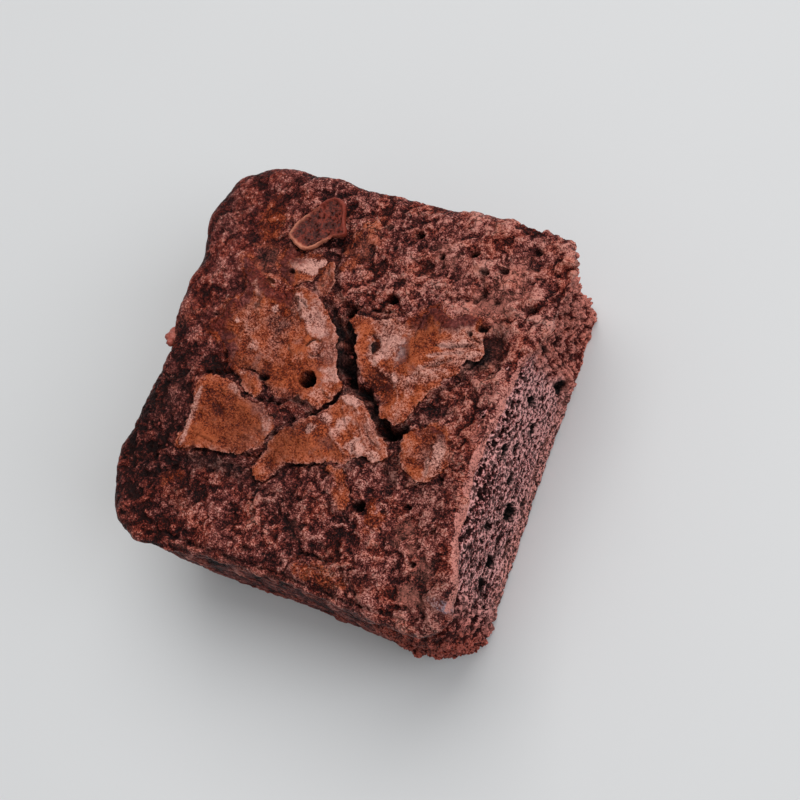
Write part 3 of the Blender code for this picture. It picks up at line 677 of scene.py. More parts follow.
        (-13.1, 19, -0.1), (-10.5, 18.7, 0), (-8, 18.8, 0.1), (-5.7, 18.4, 0.15), (-5.3, 16.8, 0.25),
        (-6.6, 15.1, 0.25), (-8, 14, 0.2), (-9.5, 13.3, 0.1), (-11.5, 13.8, 0), (-13.1, 14.8, -0.1),
        (-14, 16.8, -0.15)), 0.55, spots(
        (-8.1, 16.8, 5.4, 2.6, 15, 0.1, 0.45, 0, 1), (-10.1, 16.8, 3.4, 3, 0, 0.05, 0.5, 0, 0.7),
        (-12.5, 16.4, 2, 3, 0, 0, 0.6, 0.3)), cracks(
        (0.4, 0.3, ((-11.1, 15.4), (-10.1, 15), (-9.3, 15.4)), 0.6))),
    Plate("knob", 0.5, 0.25, (
        (-5.1, 17.9, 0.15), (-3.8, 17, 0.2), (-3.1, 15, 0.2), (-3.4, 13.2, 0.2), (-4.9, 12.7, 0.2),
        (-5.8, 14.4, 0.15), (-5.6, 16.4, 0.1)), 0.35, spots(
        (-4.5, 15.4, 1.8, 3, 0, 0.15, 0.6, 0, 0.4), (-4.7, 14, 0.6, 0.5, 0, -0.2, 0.4, 0, 0, 0.7)), cracks(
        (0.4, 0.3, ((-4.9, 17.2), (-4.5, 16), (-3.7, 15.4)), 0.6))),
)


class BrownieShape:
    """The piece's heights and radii, and every mark on its top, shared by all its layers."""

    RIM_HEIGHT = 25.0
    CROWN = 0.35
    PAN_EDGE = (3.2, 1.5)
    CUT_EDGE = (1.3, 0.5)
    LIP_RECESS = 0.8
    LIP_RECESS_DEPTH = 2.9
    LIP_RECESS_SPREAD = 2.2
    CUT_HALF_ANGLE = math.radians(46.0)
    CUT_BLEND = math.radians(8.0)
    CUT_SLOPE_DEPTH = 5.0
    TEAR_START_Y = 9.0
    TEAR_BLEND = 5.0
    PLATE_EDGE = 0.8
    PAN_LIP = 1.5
    CUT_LIP = 0.9
    RIM = PolarOutline((
        (-19.3, -30.2), (-6, -29.4), (8, -29.6), (20, -30.6), (26.5, -30.4), (29.6, -27.4), (28.8, -22.5),
        (27.2, -16), (26.4, -8), (27.2, 0), (28.6, 9), (31, 16), (31.9, 22.5), (29.9, 28), (24, 29.7),
        (15.5, 29.5), (9, 30.3), (-3, 31.2), (-12, 32), (-21, 31.9), (-27.2, 29.3), (-29.6, 22.7),
        (-28.4, 14.2), (-29.2, 7), (-27.9, -3), (-29.2, -11.5), (-29.9, -18.5), (-26.9, -26.6)))
    FOOT = PolarOutline((
        (-19, -30.2), (-6, -30.6), (6, -31.2), (15, -31.9), (21.5, -31.6), (26, -29.8), (27.8, -25.5),
        (28.1, -15), (28.4, 0), (28.7, 8), (29.3, 13.5), (29.3, 20), (29, 25.4), (25.4, 28.6), (15, 28.6),
        (0, 29.3), (-12, 30.1), (-20.2, 29.8), (-25.8, 27), (-27.7, 21), (-27.2, 10), (-26.8, -2),
        (-27.9, -14), (-27.5, -20.5), (-25, -26.7)))

    def cut_share(self, angle: Array) -> Array:
        """1 on the cut side and 0 on the pan sides, by direction from the middle."""
        return 1 - smooth_step(np.abs(angle), self.CUT_HALF_ANGLE - self.CUT_BLEND, self.CUT_HALF_ANGLE)

    def tear_share(self, angle: Array, y: Array) -> Array:
        """1 where the crumb tore instead of being cut, 0 elsewhere."""
        on_side = 1 - smooth_step(np.abs(angle), math.radians(44.0), math.radians(60.0))
        return smooth_step(y, self.TEAR_START_Y, self.TEAR_START_Y + self.TEAR_BLEND) * on_side

    def corner_share(self, x: Array, y: Array) -> Array:
        """1 at the front corner of the cut side, where the pan wrinkled the side."""
        return smooth_step(x, 12, 20) * smooth_step(-y, 19, 25)

    def lip(self, angle: Array) -> tuple[Array, Array, Array]:
        """Measure the crust's lip.

        Args:
            angle: Directions from the middle.

        Returns:
            How far it hangs down the side, how ragged it is and where it is torn, in each direction.
        """
        rim = around(self.RIM.radius(angle), angle, self.RIM_HEIGHT - 1)
        torn = self.tear_share(angle, rim[..., 1])
        ragged = Pattern(31).rough(rim, 2.4, 3, 0.8)
        hang = self.PAN_LIP + (self.CUT_LIP - self.PAN_LIP) * self.cut_share(angle)
        return hang * (1 + 0.45 * ragged) * (1 - 0.5 * torn), ragged, torn

    def rim_level(self, angle: Array) -> Array:
        """Height of the rim itself in each direction."""
        pan, cut = self.PAN_EDGE[1], self.CUT_EDGE[1]
        return self.RIM_HEIGHT - pan + (pan - cut) * self.cut_share(angle)

    def edge_drop(self, angle: Array, inward: Array) -> Array:
        """How far the top has rounded down at this distance in from the rim.

        Args:
            angle: Directions from the middle.
            inward: Distances in from the rim.

        Returns:
            The drops in millimetres.
        """
        def quarter(width: float, drop: float) -> Array:
            """A quarter of an ellipse, this wide and this deep."""
            return drop * (1 - np.sqrt(1 - np.clip(1 - inward / width, 0, 1) ** 2))
        pan, cut = quarter(*self.PAN_EDGE), quarter(*self.CUT_EDGE)
        return pan + (cut - pan) * self.cut_share(angle)

    def side_radius(self, angle: Array, depth: Array) -> Array:
        """Distance from the middle to the side, this far below the rim.

        Args:
            angle: Directions from the middle.
            depth: Depths below the rim in millimetres.

        Returns:
            The radius at each place.
        """
        rim, foot = self.RIM.radius(angle), self.FOOT.radius(angle)
        cut = self.cut_share(angle)
        pan_way = smooth_step(depth / self.rim_level(angle), 0, 1)
        cut_way = smooth_step(depth, -0.5, self.CUT_SLOPE_DEPTH)
        radius = rim + (foot - rim) * (pan_way + (cut_way - pan_way) * cut)
        recess = np.exp(-(((depth - self.LIP_RECESS_DEPTH) / self.LIP_RECESS_SPREAD) ** 2))
        return radius - self.LIP_RECESS * recess * (1 - cut)


@dataclass(frozen=True)
class CrumbGrain:
    """The clods and grains that the baked crumb is made of.

    Args:
        swell: Height of the soft hills.
        billow: Height of the rounded lumps with creases between them.
        clod: Height of the clods, 2 to 3 mm across.
        grain: Height of the grains on them.
        fine: Height of the finest roughness.
    """

    swell: float = 0.50
    billow: float = 1.05
    clod: float = 0.17
    grain: float = 0.08
    fine: float = 0.05

    BILLOW_SIZE = 4.6
    CLOD_SIZE = 2.2
    GRAIN_SIZE = 0.8
    FINE_SIZE = 0.5

    def hills(self, places: Array) -> Array:
        """Soft hills that the skin follows too."""
        return self.swell * (Pattern(1).waves(places, 8.5) + 0.8 * Pattern(2).waves(places, 4.2))

    def clods(self, places: Array) -> Array:
        """Clods and grains on top of the hills.

        Args:
            places: Points (..., 3) in millimetres.

        Returns:
            Heights in millimetres, about -0.6 to 0.6.
        """
        sway = Pattern.sway((11, 12, 13), places, 2.6, 3, 0.7)
        bent = places + 1.3 * sway
        billow = np.abs(Pattern(6).rough(bent, self.BILLOW_SIZE, 3, 0.8)) - 0.22
        near, _, own = Pattern(3).cells(bent, self.CLOD_SIZE)
        clod = own - 0.5 + 1.1 * self.dome(near)
        near, _, own = Pattern(4).cells(places + 0.5 * sway, self.GRAIN_SIZE)
        grain = 0.9 * (own - 0.5) + 1.1 * self.dome(near)
        rough = Pattern(5).rough(places, self.FINE_SIZE, 2)
        return (self.billow * billow + self.clod * (clod - 0.8) + self.grain * (grain - 0.8)
                + self.fine * rough)

    @staticmethod
    def dome(near: Array) -> Array:
        """Round off a grain, by the distance to its centre."""
        return np.sqrt(np.clip(1 - (near / 0.95) ** 2, 0, 1))


def grid_normals(places: Array, wrap: bool = False) -> Array:
    """Outward normals of a grid of places.

    Args:
        places: Points (rows, columns, 3); columns then rows turn counter-clockwise seen from outside.
        wrap: Whether the last column meets the first one.

    Returns:
        Unit vectors (rows, columns, 3).
    """
    if wrap:
        padded = np.concatenate([places[:, -1:], places, places[:, :1]], axis=1)
        along = np.gradient(padded, axis=1)[:, 1:-1]
    else:
        along = np.gradient(places, axis=1)
    normal = np.cross(along, np.gradient(places, axis=0))
    return normal / np.maximum(np.linalg.norm(normal, axis=-1, keepdims=True), TINY)


class MeshWork:
    """Hand-like steps on one mesh object, with sizes in millimetres until it is finished."""

    MAP_MARGIN = 0.02
    MAP_WIDTH = 0.96

    def __init__(self, name: str) -> None:
        """Take the object that was added last.

        Args:
            name: Its name.
        """
        self.item = bpy.context.active_object
        self.item.name = name
        self.item.data.name = name

    @staticmethod
    def clear_selection() -> None:
        """Deselect every object, because operators act on all that is selected."""
        for item in bpy.context.selected_objects:
            item.select_set(False)

    @classmethod
    def grid(cls, name: str, columns: int, rows: int) -> "MeshWork":
        """Add a flat grid from -1 to 1.

        Args:
            name: Its name.
            columns: Cells along x.
            rows: Cells along y.

        Returns:
            The work on it.
        """
        cls.clear_selection()
        bpy.ops.mesh.primitive_grid_add(x_subdivisions=columns, y_subdivisions=rows, size=2.0)
        return cls(name)

    @property
    def mesh(self) -> bpy.types.Mesh:
        """The object's mesh."""
        return self.item.data

    def places(self) -> Array:
        """Vertex places (n, 3).

        Returns:
            The places.
        """
        flat = np.empty(len(self.mesh.vertices) * 3)
        self.mesh.vertices.foreach_get("co", flat)
        return flat.reshape(-1, 3)

    def move(self, places: Array) -> None:
        """Move the vertices to these places."""
        self.mesh.vertices.foreach_set("co", np.ascontiguousarray(places, float).ravel())
        self.mesh.update()

    def step(self, chosen: Array, operator: Callable, **settings: object) -> None:
        """Run an edit-mode operator on some vertices and nothing else.

        Args:
            chosen: Which vertices to select.
            operator: The operator.
            settings: Its settings.
        """
        mesh = self.mesh
        for parts in (mesh.polygons, mesh.edges):
            parts.foreach_set("select", np.zeros(len(parts), bool))
        mesh.vertices.foreach_set("select", np.ascontiguousarray(chosen, bool))
        bpy.ops.object.mode_set(mode="EDIT")
        bpy.ops.mesh.select_mode(type="VERT")
        operator(**settings)
        bpy.ops.object.mode_set(mode="OBJECT")

    @staticmethod
    def edit_edges() -> None:
        """Enter edit mode with no edge selected."""
        bpy.ops.object.mode_set(mode="EDIT")
        bpy.ops.mesh.select_mode(type="EDGE")
        bpy.ops.mesh.select_all(action="DESELECT")

    def corners(self, what: str) -> Array:
        """The vertex_index or the edge_index of each face corner.

        Args:
            what: Which of the two is wanted.

        Returns:
            One number for each corner.
        """
        values = np.zeros(len(self.mesh.loops), int)
        self.mesh.loops.foreach_get(what, values)
        return values

    def edge_ends(self) -> Array:
        """The two vertices (n, 2) of each edge.

        Returns:
            Vertex numbers.
        """
        ends = np.zeros(len(self.mesh.edges) * 2, int)
        self.mesh.edges.foreach_get("vertices", ends)
        return ends.reshape(-1, 2)

    def open_ends(self) -> Array:
        """How many edges of the open border, or without a face, meet at each vertex."""
        uses = np.bincount(self.corners("edge_index"), minlength=len(self.mesh.edges))
        return np.bincount(self.edge_ends()[uses < 2].ravel(), minlength=len(self.mesh.vertices))

    def extrude_border(self, steps: int) -> None:
        """Extrude the open border downwards this many times and close it with one face.

        Args:
            steps: How many times.
        """
        self.edit_edges()
        bpy.ops.mesh.select_non_manifold(use_wire=False, use_multi_face=False, use_non_contiguous=False,
                                         use_verts=False)
        for _ in range(steps):
            bpy.ops.mesh.extrude_region_move(TRANSFORM_OT_translate={"value": (0.0, 0.0, -STEP_DOWN)})
        bpy.ops.mesh.edge_face_add()
        bpy.ops.object.mode_set(mode="OBJECT")

    def note(self, **notes: Array) -> None:
        """Keep one value for each vertex under each of these names.

        Args:
            notes: Values by name.
        """
        for name, values in notes.items():
            layer = self.mesh.attributes.new(name, "FLOAT", "POINT")
            layer.data.foreach_set("value", np.ascontiguousarray(values, np.float32).ravel())

    def lay_map(self, flat: Array, wrap: bool = False) -> None:
        """Lay the bake map: each vertex at its own spot, each many-sided face in a corner.

        Args:
            flat: Spots (n, 2) from 0 to 1, one for each vertex.
            wrap: Whether faces may cross from the right border to the left one.
        """
        corners = flat[self.corners("vertex_index")]
        laid = self.MAP_MARGIN + self.MAP_WIDTH * corners
        sides = np.zeros(len(self.mesh.polygons), int)
        self.mesh.polygons.foreach_get("loop_total", sides)
        face = np.repeat(np.arange(len(sides)), sides)
        if wrap:
            right = np.zeros(len(sides))
            np.maximum.at(right, face, laid[:, 0])
            laid[:, 0] += np.where((right[face] - laid[:, 0]) > 0.5, self.MAP_WIDTH, 0)
        many = sides[face] > 4
        laid[many] = 0.002 + 0.012 * corners[many]
        layer = self.mesh.uv_layers.new(name=BAKE_MAP)
        layer.data.foreach_set("uv", np.ascontiguousarray(laid, np.float32).ravel())

    def finish(self, material: bpy.types.Material, node: str, slot: str, sharp: float = 60.0) -> None:
        """Turn to metres, smooth, dress and hand the piece over.

        Args:
            material: Its finish.
            node: The CAD node that it stands for.
            slot: A material slot name; not used.
            sharp: Edges over this angle in degrees stay sharp.
        """
        self.move(to_metres(self.places()))
        self.clear_selection()
        self.item.select_set(True)
        bpy.context.view_layer.objects.active = self.item
        bpy.ops.object.shade_smooth_by_angle(angle=math.radians(sharp))
        self.mesh.materials.clear()
        self.mesh.materials.append(material)
        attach(self.item, BODY)
        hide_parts(node)
        self.clear_selection()
        LOG.info("%s: %d faces", self.item.name, len(self.mesh.polygons))


@dataclass
class TopMarks:
    """What the marks do at each place of the top."""

    height: Array
    cover: Array
    bloom: Array
    warmth: Array
    dark: Array


@dataclass
class CrustTop:
    """The baked top: a bent grid whose border rolls over the rim and tucks in under its own lip.

    Args:
        shape: The brownie's shape.
        grain: The crumb's clods and grains.
        cells: Grid cells across.
        skirt_rings: How many of the outer rings hang down the sides.
        tuck: How far the lip turns in below.
        floor_level: Height of the hidden closing face.
    """

    shape: BrownieShape
    grain: CrumbGrain
    cells: int = 306
    skirt_rings: int = 26
    tuck: float = 1.5
    floor_level: float = 19.4

    RIM_PACKING = 3.0
    LIP_DOWN = 0.75
    REACH = (2, 9)
    GAIN = (1.3, 0.9)
    PALE_LIMIT = 0.3
    DARK_LIMIT = 0.55

    def marks(self, x: Array, y: Array) -> TopMarks:
        """Add up plates, mounds, cracks and holes.

        Args:
            x: Places towards the cut side.
            y: Places towards the back.

        Returns:
            Heights and tones at each place.
        """
        places = xyz(x, y, 0.0)
        uneven = Pattern(21).rough(places, 1.3, 3, 0.7)
        deep = Pattern(28).rough(places, 2.4, 3, 0.7)
        height, cover, bloom, warmth, dark = (np.zeros(x.shape) for _ in range(5))
        for plate in PLATES:
            near = plate.near(x, y, 2.2)
            measured = plate.measure(x[near], y[near])
            depth = measured.depth
            height[near] += plate.rise * smooth_step(depth, -1.6, self.shape.PLATE_EDGE)
            faded = smooth_step(depth, -2, 0.5) * smooth_step(0.18 - measured.lift, 0, 0.2)
            warmth[near] = np.maximum(warmth[near], 0.9 * faded)
            # Painted shade in the crust beside raised plate edges.
            beside = smooth_step(depth, -2.4, -0.2) * smooth_step(measured.lift, 0.05, 0.25)
            gap = 0.3 + 0.6 * smooth_step(measured.lift, 0.3, 0.38)
            dark[near] = np.maximum(dark[near], gap * beside * np.clip(0.9 + 0.8 * deep[near], 0, 1.1))
            cover[near] = np.maximum(cover[near], smooth_step(depth + 0.3 * uneven[near], -0.6, 0.9))
        for mound in MOUNDS:
            share = mound.share(x, y, uneven)
            height += mound.height * share
            warmth += mound.warmth * share
            # Pale bloom with painted sheen and light from the mounds.
            bloom += mound.bloom * share
            # Painted shade in dips and over the darker left side.
            dark = np.maximum(dark, mound.darkness * share)
            cover = np.maximum(cover, 0.55 * share * (mound.warmth > 0.3))
        for crack in CRACKS:
            share = crack.share(x, y, uneven)
            sway = deep * (1.1 - crack.darkness)
            height -= crack.depth * share * np.clip(0.9 + 0.9 * sway, 0.2, 1.3)
            # Painted shade on the crack's floor.
            dark = np.maximum(dark, crack.darkness * smooth_step(share + 0.7 * sway, 0.25, 0.85))
            cover *= 1 - 0.8 * share
        for hole in HOLES:
            share = hole.share(x, y, 0.6 * uneven)
            height += hole.height * share
            # Painted shade inside the hole.
            dark = np.maximum(dark, hole.darkness * smooth_step(share, 0.1, 0.55))
            cover *= 1 - share
        return TopMarks(height, cover, bloom, warmth, dark)

    def side_light_and_shade(self, x: Array, y: Array) -> Array:
        """Painted light and shade by side, from -1 (shade) on the left to 1 (light) on the right."""
        left = smooth_step(-x, 12, 25) * (1.7 - 1.6 * smooth_step(y, -8, 4))
        return smooth_step(x + 0.15 * y, 4, 22) * (0.6 + 0.6 * smooth_step(y, 0, 16)) - left

    def coarseness(self, x: Array, y: Array) -> Array:
        """How coarse the crumb is: finest at the back left, coarsest towards the torn corner.

        Args:
            x: Places towards the cut side.
            y: Places towards the back.

        Returns:
            A factor for the clods.
        """
        right = smooth_step(x + 0.25 * y, -12, 24)
        left_back = smooth_step(-x, 10, 24) * smooth_step(y, -12, 18)
        return 0.8 + 0.25 * right - 0.35 * left_back

    def base(self, angle: Array, reach: Array, square: Array, lip: Array) -> tuple[Array, Array, Array]:
        """Place the grid's vertices on the plain rounded top and its skirt.

        Args:
            angle: Directions from the middle.
            reach: Share of the way to the border, by rings.
            square: Length of the unit square's radius in each direction.
            lip: How far the skirt hangs in each direction.

        Returns:
            Points (n, 3), how far along the skirt each one is, and its distance in from the rim.
        """
        shape = self.shape
        rings = 0.5 * self.cells
        ring = (1 - reach) * rings - self.skirt_rings

        def packed(count: Array | float) -> Array:
            """Crowd the rings towards the rim."""
            return count - self.RIM_PACKING * (1 - np.exp(-count / self.RIM_PACKING))
        inner = np.maximum(ring, 0)
        share = 1 - packed(inner) / packed(rings - self.skirt_rings)
        rim = shape.RIM.radius(angle)
        radius = shape.RIM.fill(share, square, rim)
        inward = rim - radius
        crown = shape.CROWN * (1 - (radius / rim) ** 2)
        level = shape.RIM_HEIGHT + crown - shape.edge_drop(angle, inward)
        along = np.clip(-ring / self.skirt_rings, 0, 1)
        down = lip * np.minimum(along / self.LIP_DOWN, 1)
        turn = 0.5 * math.pi * np.clip((along - self.LIP_DOWN) / (1 - self.LIP_DOWN), 0, 1)
        side = shape.side_radius(angle, down) - self.tuck * (1 - np.cos(turn))
        radius = np.where(along > 0, side, radius)
        level = np.where(along > 0, shape.rim_level(angle) - down - 0.35 * np.sin(turn), level)
        return around(radius, angle, level), along, inward

    def build(self, material: bpy.types.Material) -> None:
        """Model the top and hand it over.

        Args:
            material: The crust's finish.
        """
        work = MeshWork.grid("crust_top", self.cells, self.cells)
        work.extrude_border(1)
        flat = work.places()
        is_grid = flat[:, 2] > -0.5 * STEP_DOWN
        at = tuple(np.rint((flat[:, axis] + 1) * 0.5 * self.cells).astype(int) for axis in (1, 0))
        steps = np.linspace(-1.0, 1.0, self.cells + 1)
        u, v = np.meshgrid(steps, steps)
        reach, angle, square = square_rings(u, v)
        lip, ragged, torn = self.shape.lip(angle)
        base, along, inward = self.base(angle, reach, square, lip)
        x, y = base[..., 0], base[..., 1]
        marks = self.marks(x, y)
        normal = grid_normals(base)
        coarse = self.coarseness(x, y) + 0.15 * torn * smooth_step(-inward, -5, 0)
        hills = self.grain.hills(base)
        rim_calm = 1 - 0.5 * smooth_step(-inward, -2.5, -0.5) * (1 - torn)
        clods = self.grain.clods(base) * coarse * (1 - 0.85 * marks.cover) * rim_calm
        thick = (hills + clods) * (1 - 0.25 * smooth_step(along, 0.6, 1))
        fade = 1 - smooth_step(along, 0, 0.15)
        places = base + normal * thick[..., None]
        places[..., 2] += (marks.height - 0.25 * marks.cover) * fade
        # Pale lip on the cut edge and the hanging skirt: the crust edge's own paler tone, with painted light
        # on it.
        strip = smooth_step(-inward + 0.6 * ragged, -0.6, -0.15) * self.shape.cut_share(angle) * (1 - torn)
        corner = self.shape.corner_share(x, y)
        hanging = (0.25 + 0.75 * corner) * smooth_step(along, 0, 0.1 + 0.3 * corner) * (1 - torn)
        # Painted shade and light by relief: hollows are coloured darker and raised places paler.
        cavity = stand_out(thick, self.REACH, self.GAIN)
        tones = {
            "cavity": 0.5 + soft_limit(cavity, self.PALE_LIMIT, self.DARK_LIMIT), "cover": marks.cover,
            "bloom": marks.bloom, "warmth": marks.warmth, "dark": marks.dark * fade,
            # pale: painted light on the right and painted shade on the left.
            "lip": np.maximum(strip, hanging), "pale": self.side_light_and_shade(x, y), "coarse": coarse,
        }
        floor = around(self.shape.side_radius(angle, lip) - self.tuck - 1.6, angle, self.floor_level)
        work.move(np.where(is_grid[:, None], places[at], floor[at]))
        work.note(**{name: values[at] for name, values in tones.items()})
        work.lay_map(np.column_stack([u[at], v[at]]) * 0.5 + 0.5)
        work.finish(material, BROWNIE_NODE, BROWNIE_SLOT)


@dataclass
class SkinPlate:
    """One thin plate of skin: a grid cut to its outline, with a dropped edge and a flat hidden underside.

    Args:
        shape: The brownie's shape.
        grain: The crumb's hills, which the plate follows.
        plate: Its outline, lifts and marks.
        cell: Grid cell in millimetres.
    """

    shape: BrownieShape
    grain: CrumbGrain
    plate: Plate
    cell: float = 0.13

    EDGE_REACH = 2.2
    EDGE_ROUND = 0.3
    SKIN = 0.25
    INSETS = (0.0, 0.12, 0.9)
    UNDERSIDE = 23.9

    def level(self, x: Array, y: Array) -> Array:
        """Height of the crust's smooth top under the plate.

        Args:
            x: Places towards the cut side.
            y: Places towards the back.

        Returns:
            The heights.
        """
        angle = np.arctan2(y, x)
        rim = self.shape.RIM.radius(angle)
        radius = np.hypot(x, y)
        plain = self.shape.RIM_HEIGHT + self.shape.CROWN * (1 - (radius / rim) ** 2)
        plain = plain - self.shape.edge_drop(angle, rim - radius)
        return plain + self.grain.hills(xyz(x, y, plain))

    def cut_grid(self) -> MeshWork:
        """Cut a flat grid to the outline and draw its border onto it.

        Returns:
            The work on it.
        """
        border = self.plate.border
        low, high = border[:, :2].min(axis=0), border[:, :2].max(axis=0)
        columns, rows = (int(count) for count in np.ceil((high - low) / self.cell))
        work = MeshWork.grid(f"skin_{self.plate.name}", columns, rows)
        flat = work.places()
        flat[:, :2] = 0.5 * flat[:, :2] * (high - low) + 0.5 * (low + high)
        work.move(flat)
        outside = self.plate.measure(flat[:, 0], flat[:, 1]).depth < -0.45 * self.cell
        work.step(outside, bpy.ops.mesh.delete, type="VERT")
        self.drop_strays(work)
        flat = work.places()
        edge = work.open_ends() > 0
        flat[edge, :2] = self.plate.measure(flat[edge, 0], flat[edge, 1]).place
        work.move(flat)
        work.step(edge, bpy.ops.mesh.remove_doubles, threshold=0.02)
        return work

    @staticmethod
    def drop_strays(work: MeshWork) -> None:
        """Delete vertices where two parts of the open border touch, until there are none.

        Args:
            work: The cut grid.
        """
        while True:
            faces = np.bincount(work.corners("vertex_index"), minlength=len(work.mesh.vertices))
            stray = (work.open_ends() > 2) | (faces == 0)
            if not stray.any():
                return
            work.step(stray, bpy.ops.mesh.delete, type="VERT")

    def build(self, material: bpy.types.Material) -> None:
        """Model the plate and hand it over.

        Args:
            material: The skin's finish.
        """
        plate = self.plate
        work = self.cut_grid()
        work.extrude_border(2)
        flat = work.places()
        step = np.rint(-flat[:, 2] / STEP_DOWN).astype(int)
        x, y = flat[:, 0], flat[:, 1]
        near = plate.measure(x, y)
        depth, edge = np.maximum(near.depth, 0), near.lift
        places = xyz(x, y, self.shape.RIM_HEIGHT)
        uneven = Pattern(22).rough(places, 1.1, 3, 0.7)
        lift = 0.6 * edge + (plate.lift - 0.6 * edge) * smooth_step(depth, 0, self.EDGE_REACH)
        wrinkle = 0.42 * Pattern(23).rough(places, 4.4, 3, 0.8)
        wrinkle += 0.17 * Pattern(24).rough(places, 1.3, 3, 0.5)
        marks, bloom, warmth, dark = (np.zeros(x.shape) for _ in range(4))
        for spot in plate.skin_spots:
            share = spot.share(x, y, uneven)
            marks += spot.height * share
            bloom = np.maximum(bloom, spot.bloom * share)
            warmth += spot.warmth * share
            # Painted shade in dents, and a darker tone in a few patches.
            dark = np.maximum(dark, spot.darkness * share)
        for fold in plate.folds:
            share = fold.share(x, y, uneven)
            marks -= fold.depth * share
            # Painted shade in hairline splits.
            dark = np.maximum(dark, fold.darkness * share)
            # Raised folds get a pale painted highlight along their ridges.
            if fold.depth < 0:
                bloom = np.maximum(bloom, 0.6 * share)
        for hole in HOLES:
            share = hole.share(x, y, 0.6 * uneven)
            marks += hole.height * share
            # Painted shade inside the hole.
            dark = np.maximum(dark, hole.darkness * smooth_step(share, 0.1, 0.55))
        # Painted highlight: pale sheen along the plate's raised edge.
        bloom = np.maximum(bloom, 0.4 * np.exp(-depth / 0.6) * (step == 0) * smooth_step(edge, 0, 0.2))
        rounding = 0.14 * (1 - smooth_step(depth, 0, self.EDGE_ROUND)) ** 2
        fray = (1 - smooth_step(depth, 0.2, 3.6)) * smooth_step(0.18 - edge, 0, 0.22)
        grit = (0.35 + 0.5 * fray) * self.grain.clods(places)
        top = self.level(x, y) + plate.rise + lift + wrinkle + grit + marks - rounding
        under = top[step == 0].min() - 0.3
        inward = self.inward_normals()[near.index]
        inset = np.choose(step, self.INSETS)
        level = np.choose(step, (top, top - self.SKIN, min(under, self.UNDERSIDE)))
        places = np.column_stack([x + inset * inward[:, 0], y + inset * inward[:, 1], level])
        work.move(places)
        work.note(bloom=bloom, warmth=plate.warmth + warmth, dark=dark, wall=np.clip(step, 0, 1),
                  # edge: painted highlight along raised plate edges.
                  edge=np.exp(-depth / 0.6) * smooth_step(edge, 0.1, 0.35), fray=fray,
                  # Painted light on higher skin and painted shade on lower skin and in holes.
                  cavity=0.5 + (wrinkle + grit + 0.5 * marks))
        low, high = flat[:, :2].min(axis=0), flat[:, :2].max(axis=0)
        work.lay_map((places[:, :2] - low) / (high - low))
        work.finish(material, BROWNIE_NODE, BROWNIE_SLOT)

    def inward_normals(self) -> Array:
        """Unit vectors into the plate at each outline sample.

        Returns:
            The vectors (n, 2).
        """
        border = self.plate.border[:, :2]
        tangent = np.roll(border, -6, axis=0) - np.roll(border, 6, axis=0)
        area = np.sum(border[:, 0] * np.roll(border[:, 1], -1) - np.roll(border[:, 0], -1) * border[:, 1])
        normal = np.column_stack([-tangent[:, 1], tangent[:, 0]]) * np.sign(area)
        return normal / np.linalg.norm(normal, axis=1, keepdims=True)


@dataclass(frozen=True)
class SideMark:
    """A mark on the cut side: an opened bubble, or a lump.

    Args:
        y: Place towards the back.
        depth: Place below the rim.
        wide: Size along y.
        tall: Size along the height.
        height: How far it stands out, or goes in if negative.
        darkness: How much painted shade darkens it; below 0 is paler.
        soft: Share of its radius over which it fades out.
    """

    y: float
    depth: float
    wide: float
    tall: float
    height: float
    darkness: float = 0.0
    soft: float = 0.35

    def share(self, y: Array, depth: Array, uneven: Array) -> Array:
        """How much of the mark there is at each place, from 0 to 1."""
        away = np.hypot((y - self.y) / (0.5 * self.wide), (depth - self.depth) / (0.5 * self.tall))
        return 1 - smooth_step(away * (1 + 0.35 * uneven), 1 - self.soft, 1 + self.soft)


SIDE_MARKS = tuple(SideMark(*row) for row in (
    (-9, 15.2, 2.7, 4.4, -1.6, 1, 0.2), (-16.9, 14.3, 1.9, 3.8, -1.5, 1, 0.2),
    (-2.6, 5.2, 2.2, 1.6, -1.4, 1, 0.25), (-14.2, 14.6, 3.4, 1.4, -0.5, 0.5, 0.5),
    (-5, 11, 1.8, 1.6, -0.9, 0.9), (3.4, 13, 1.9, 1.8, -1, 0.9), (-1, 9, 1.6, 2, -0.8, 0.8),
    (-12.6, 8.4, 1.2, 2.2, -0.8, 0.8), (-20.4, 13.4, 1.6, 2.4, -0.8, 0.8),
    (-6.9, 19.6, 1.6, 1.4, -0.6, 0.8), (-13.8, 19, 3, 1.8, -0.8, 0.7), (6.4, 8.6, 1.4, 2.4, -0.9, 0.9),
    (1, 20, 5, 1, -0.4, 0.3, 0.5), (11.6, 17.4, 2, 4, -1.8, 1, 0.25), (13.2, 17.5, 3.4, 9, 1.2, 0, 0.5),
    (22.5, 2.2, 8, 1.8, 0.7, 0, 0.6), (21, 9.6, 9, 2.2, 0.7, 0, 0.6), (15.4, 2.8, 4, 1.3, -1.3, 0.9, 0.4),
    (13.2, 6, 1.6, 2.6, -1.2, 0.9), (24.6, 4.2, 5, 1.1, -1.1, 0.8, 0.4),
    (20.4, 7, 4.4, 1.2, -1.1, 0.8, 0.4), (24, 12.6, 3.4, 1.2, -0.9, 0.7, 0.4),
    (17.6, 12, 3.4, 1.3, -0.9, 0.7, 0.4), (16, 6.5, 2, 1.6, -0.9, 0.8), (20.6, 12.4, 2.2, 1.5, -1, 0.8),
    (24.8, 8.4, 1.6, 1.4, -0.8, 0.8), (18.2, 20.2, 2, 1.4, -0.8, 0.8)))

# Darker stretches of the cut side, as painted shade, and paler stretches: y, depth, wide, tall and darkness.
SIDE_SHADES = tuple(SideMark(*place, 0.0, darkness, 0.9) for *place, darkness in (
    (-19.5, 13, 9, 5, 0.22), (-8.6, 14.6, 6, 8, 0.16), (0.5, 7, 6, 5, 0.14), (-14, 5.6, 12, 4, 0.16),
    (-14.5, 19.6, 12, 3.6, -0.16), (-3.5, 18, 9, 6, -0.1), (-22.6, 8, 5, 5, -0.14)))


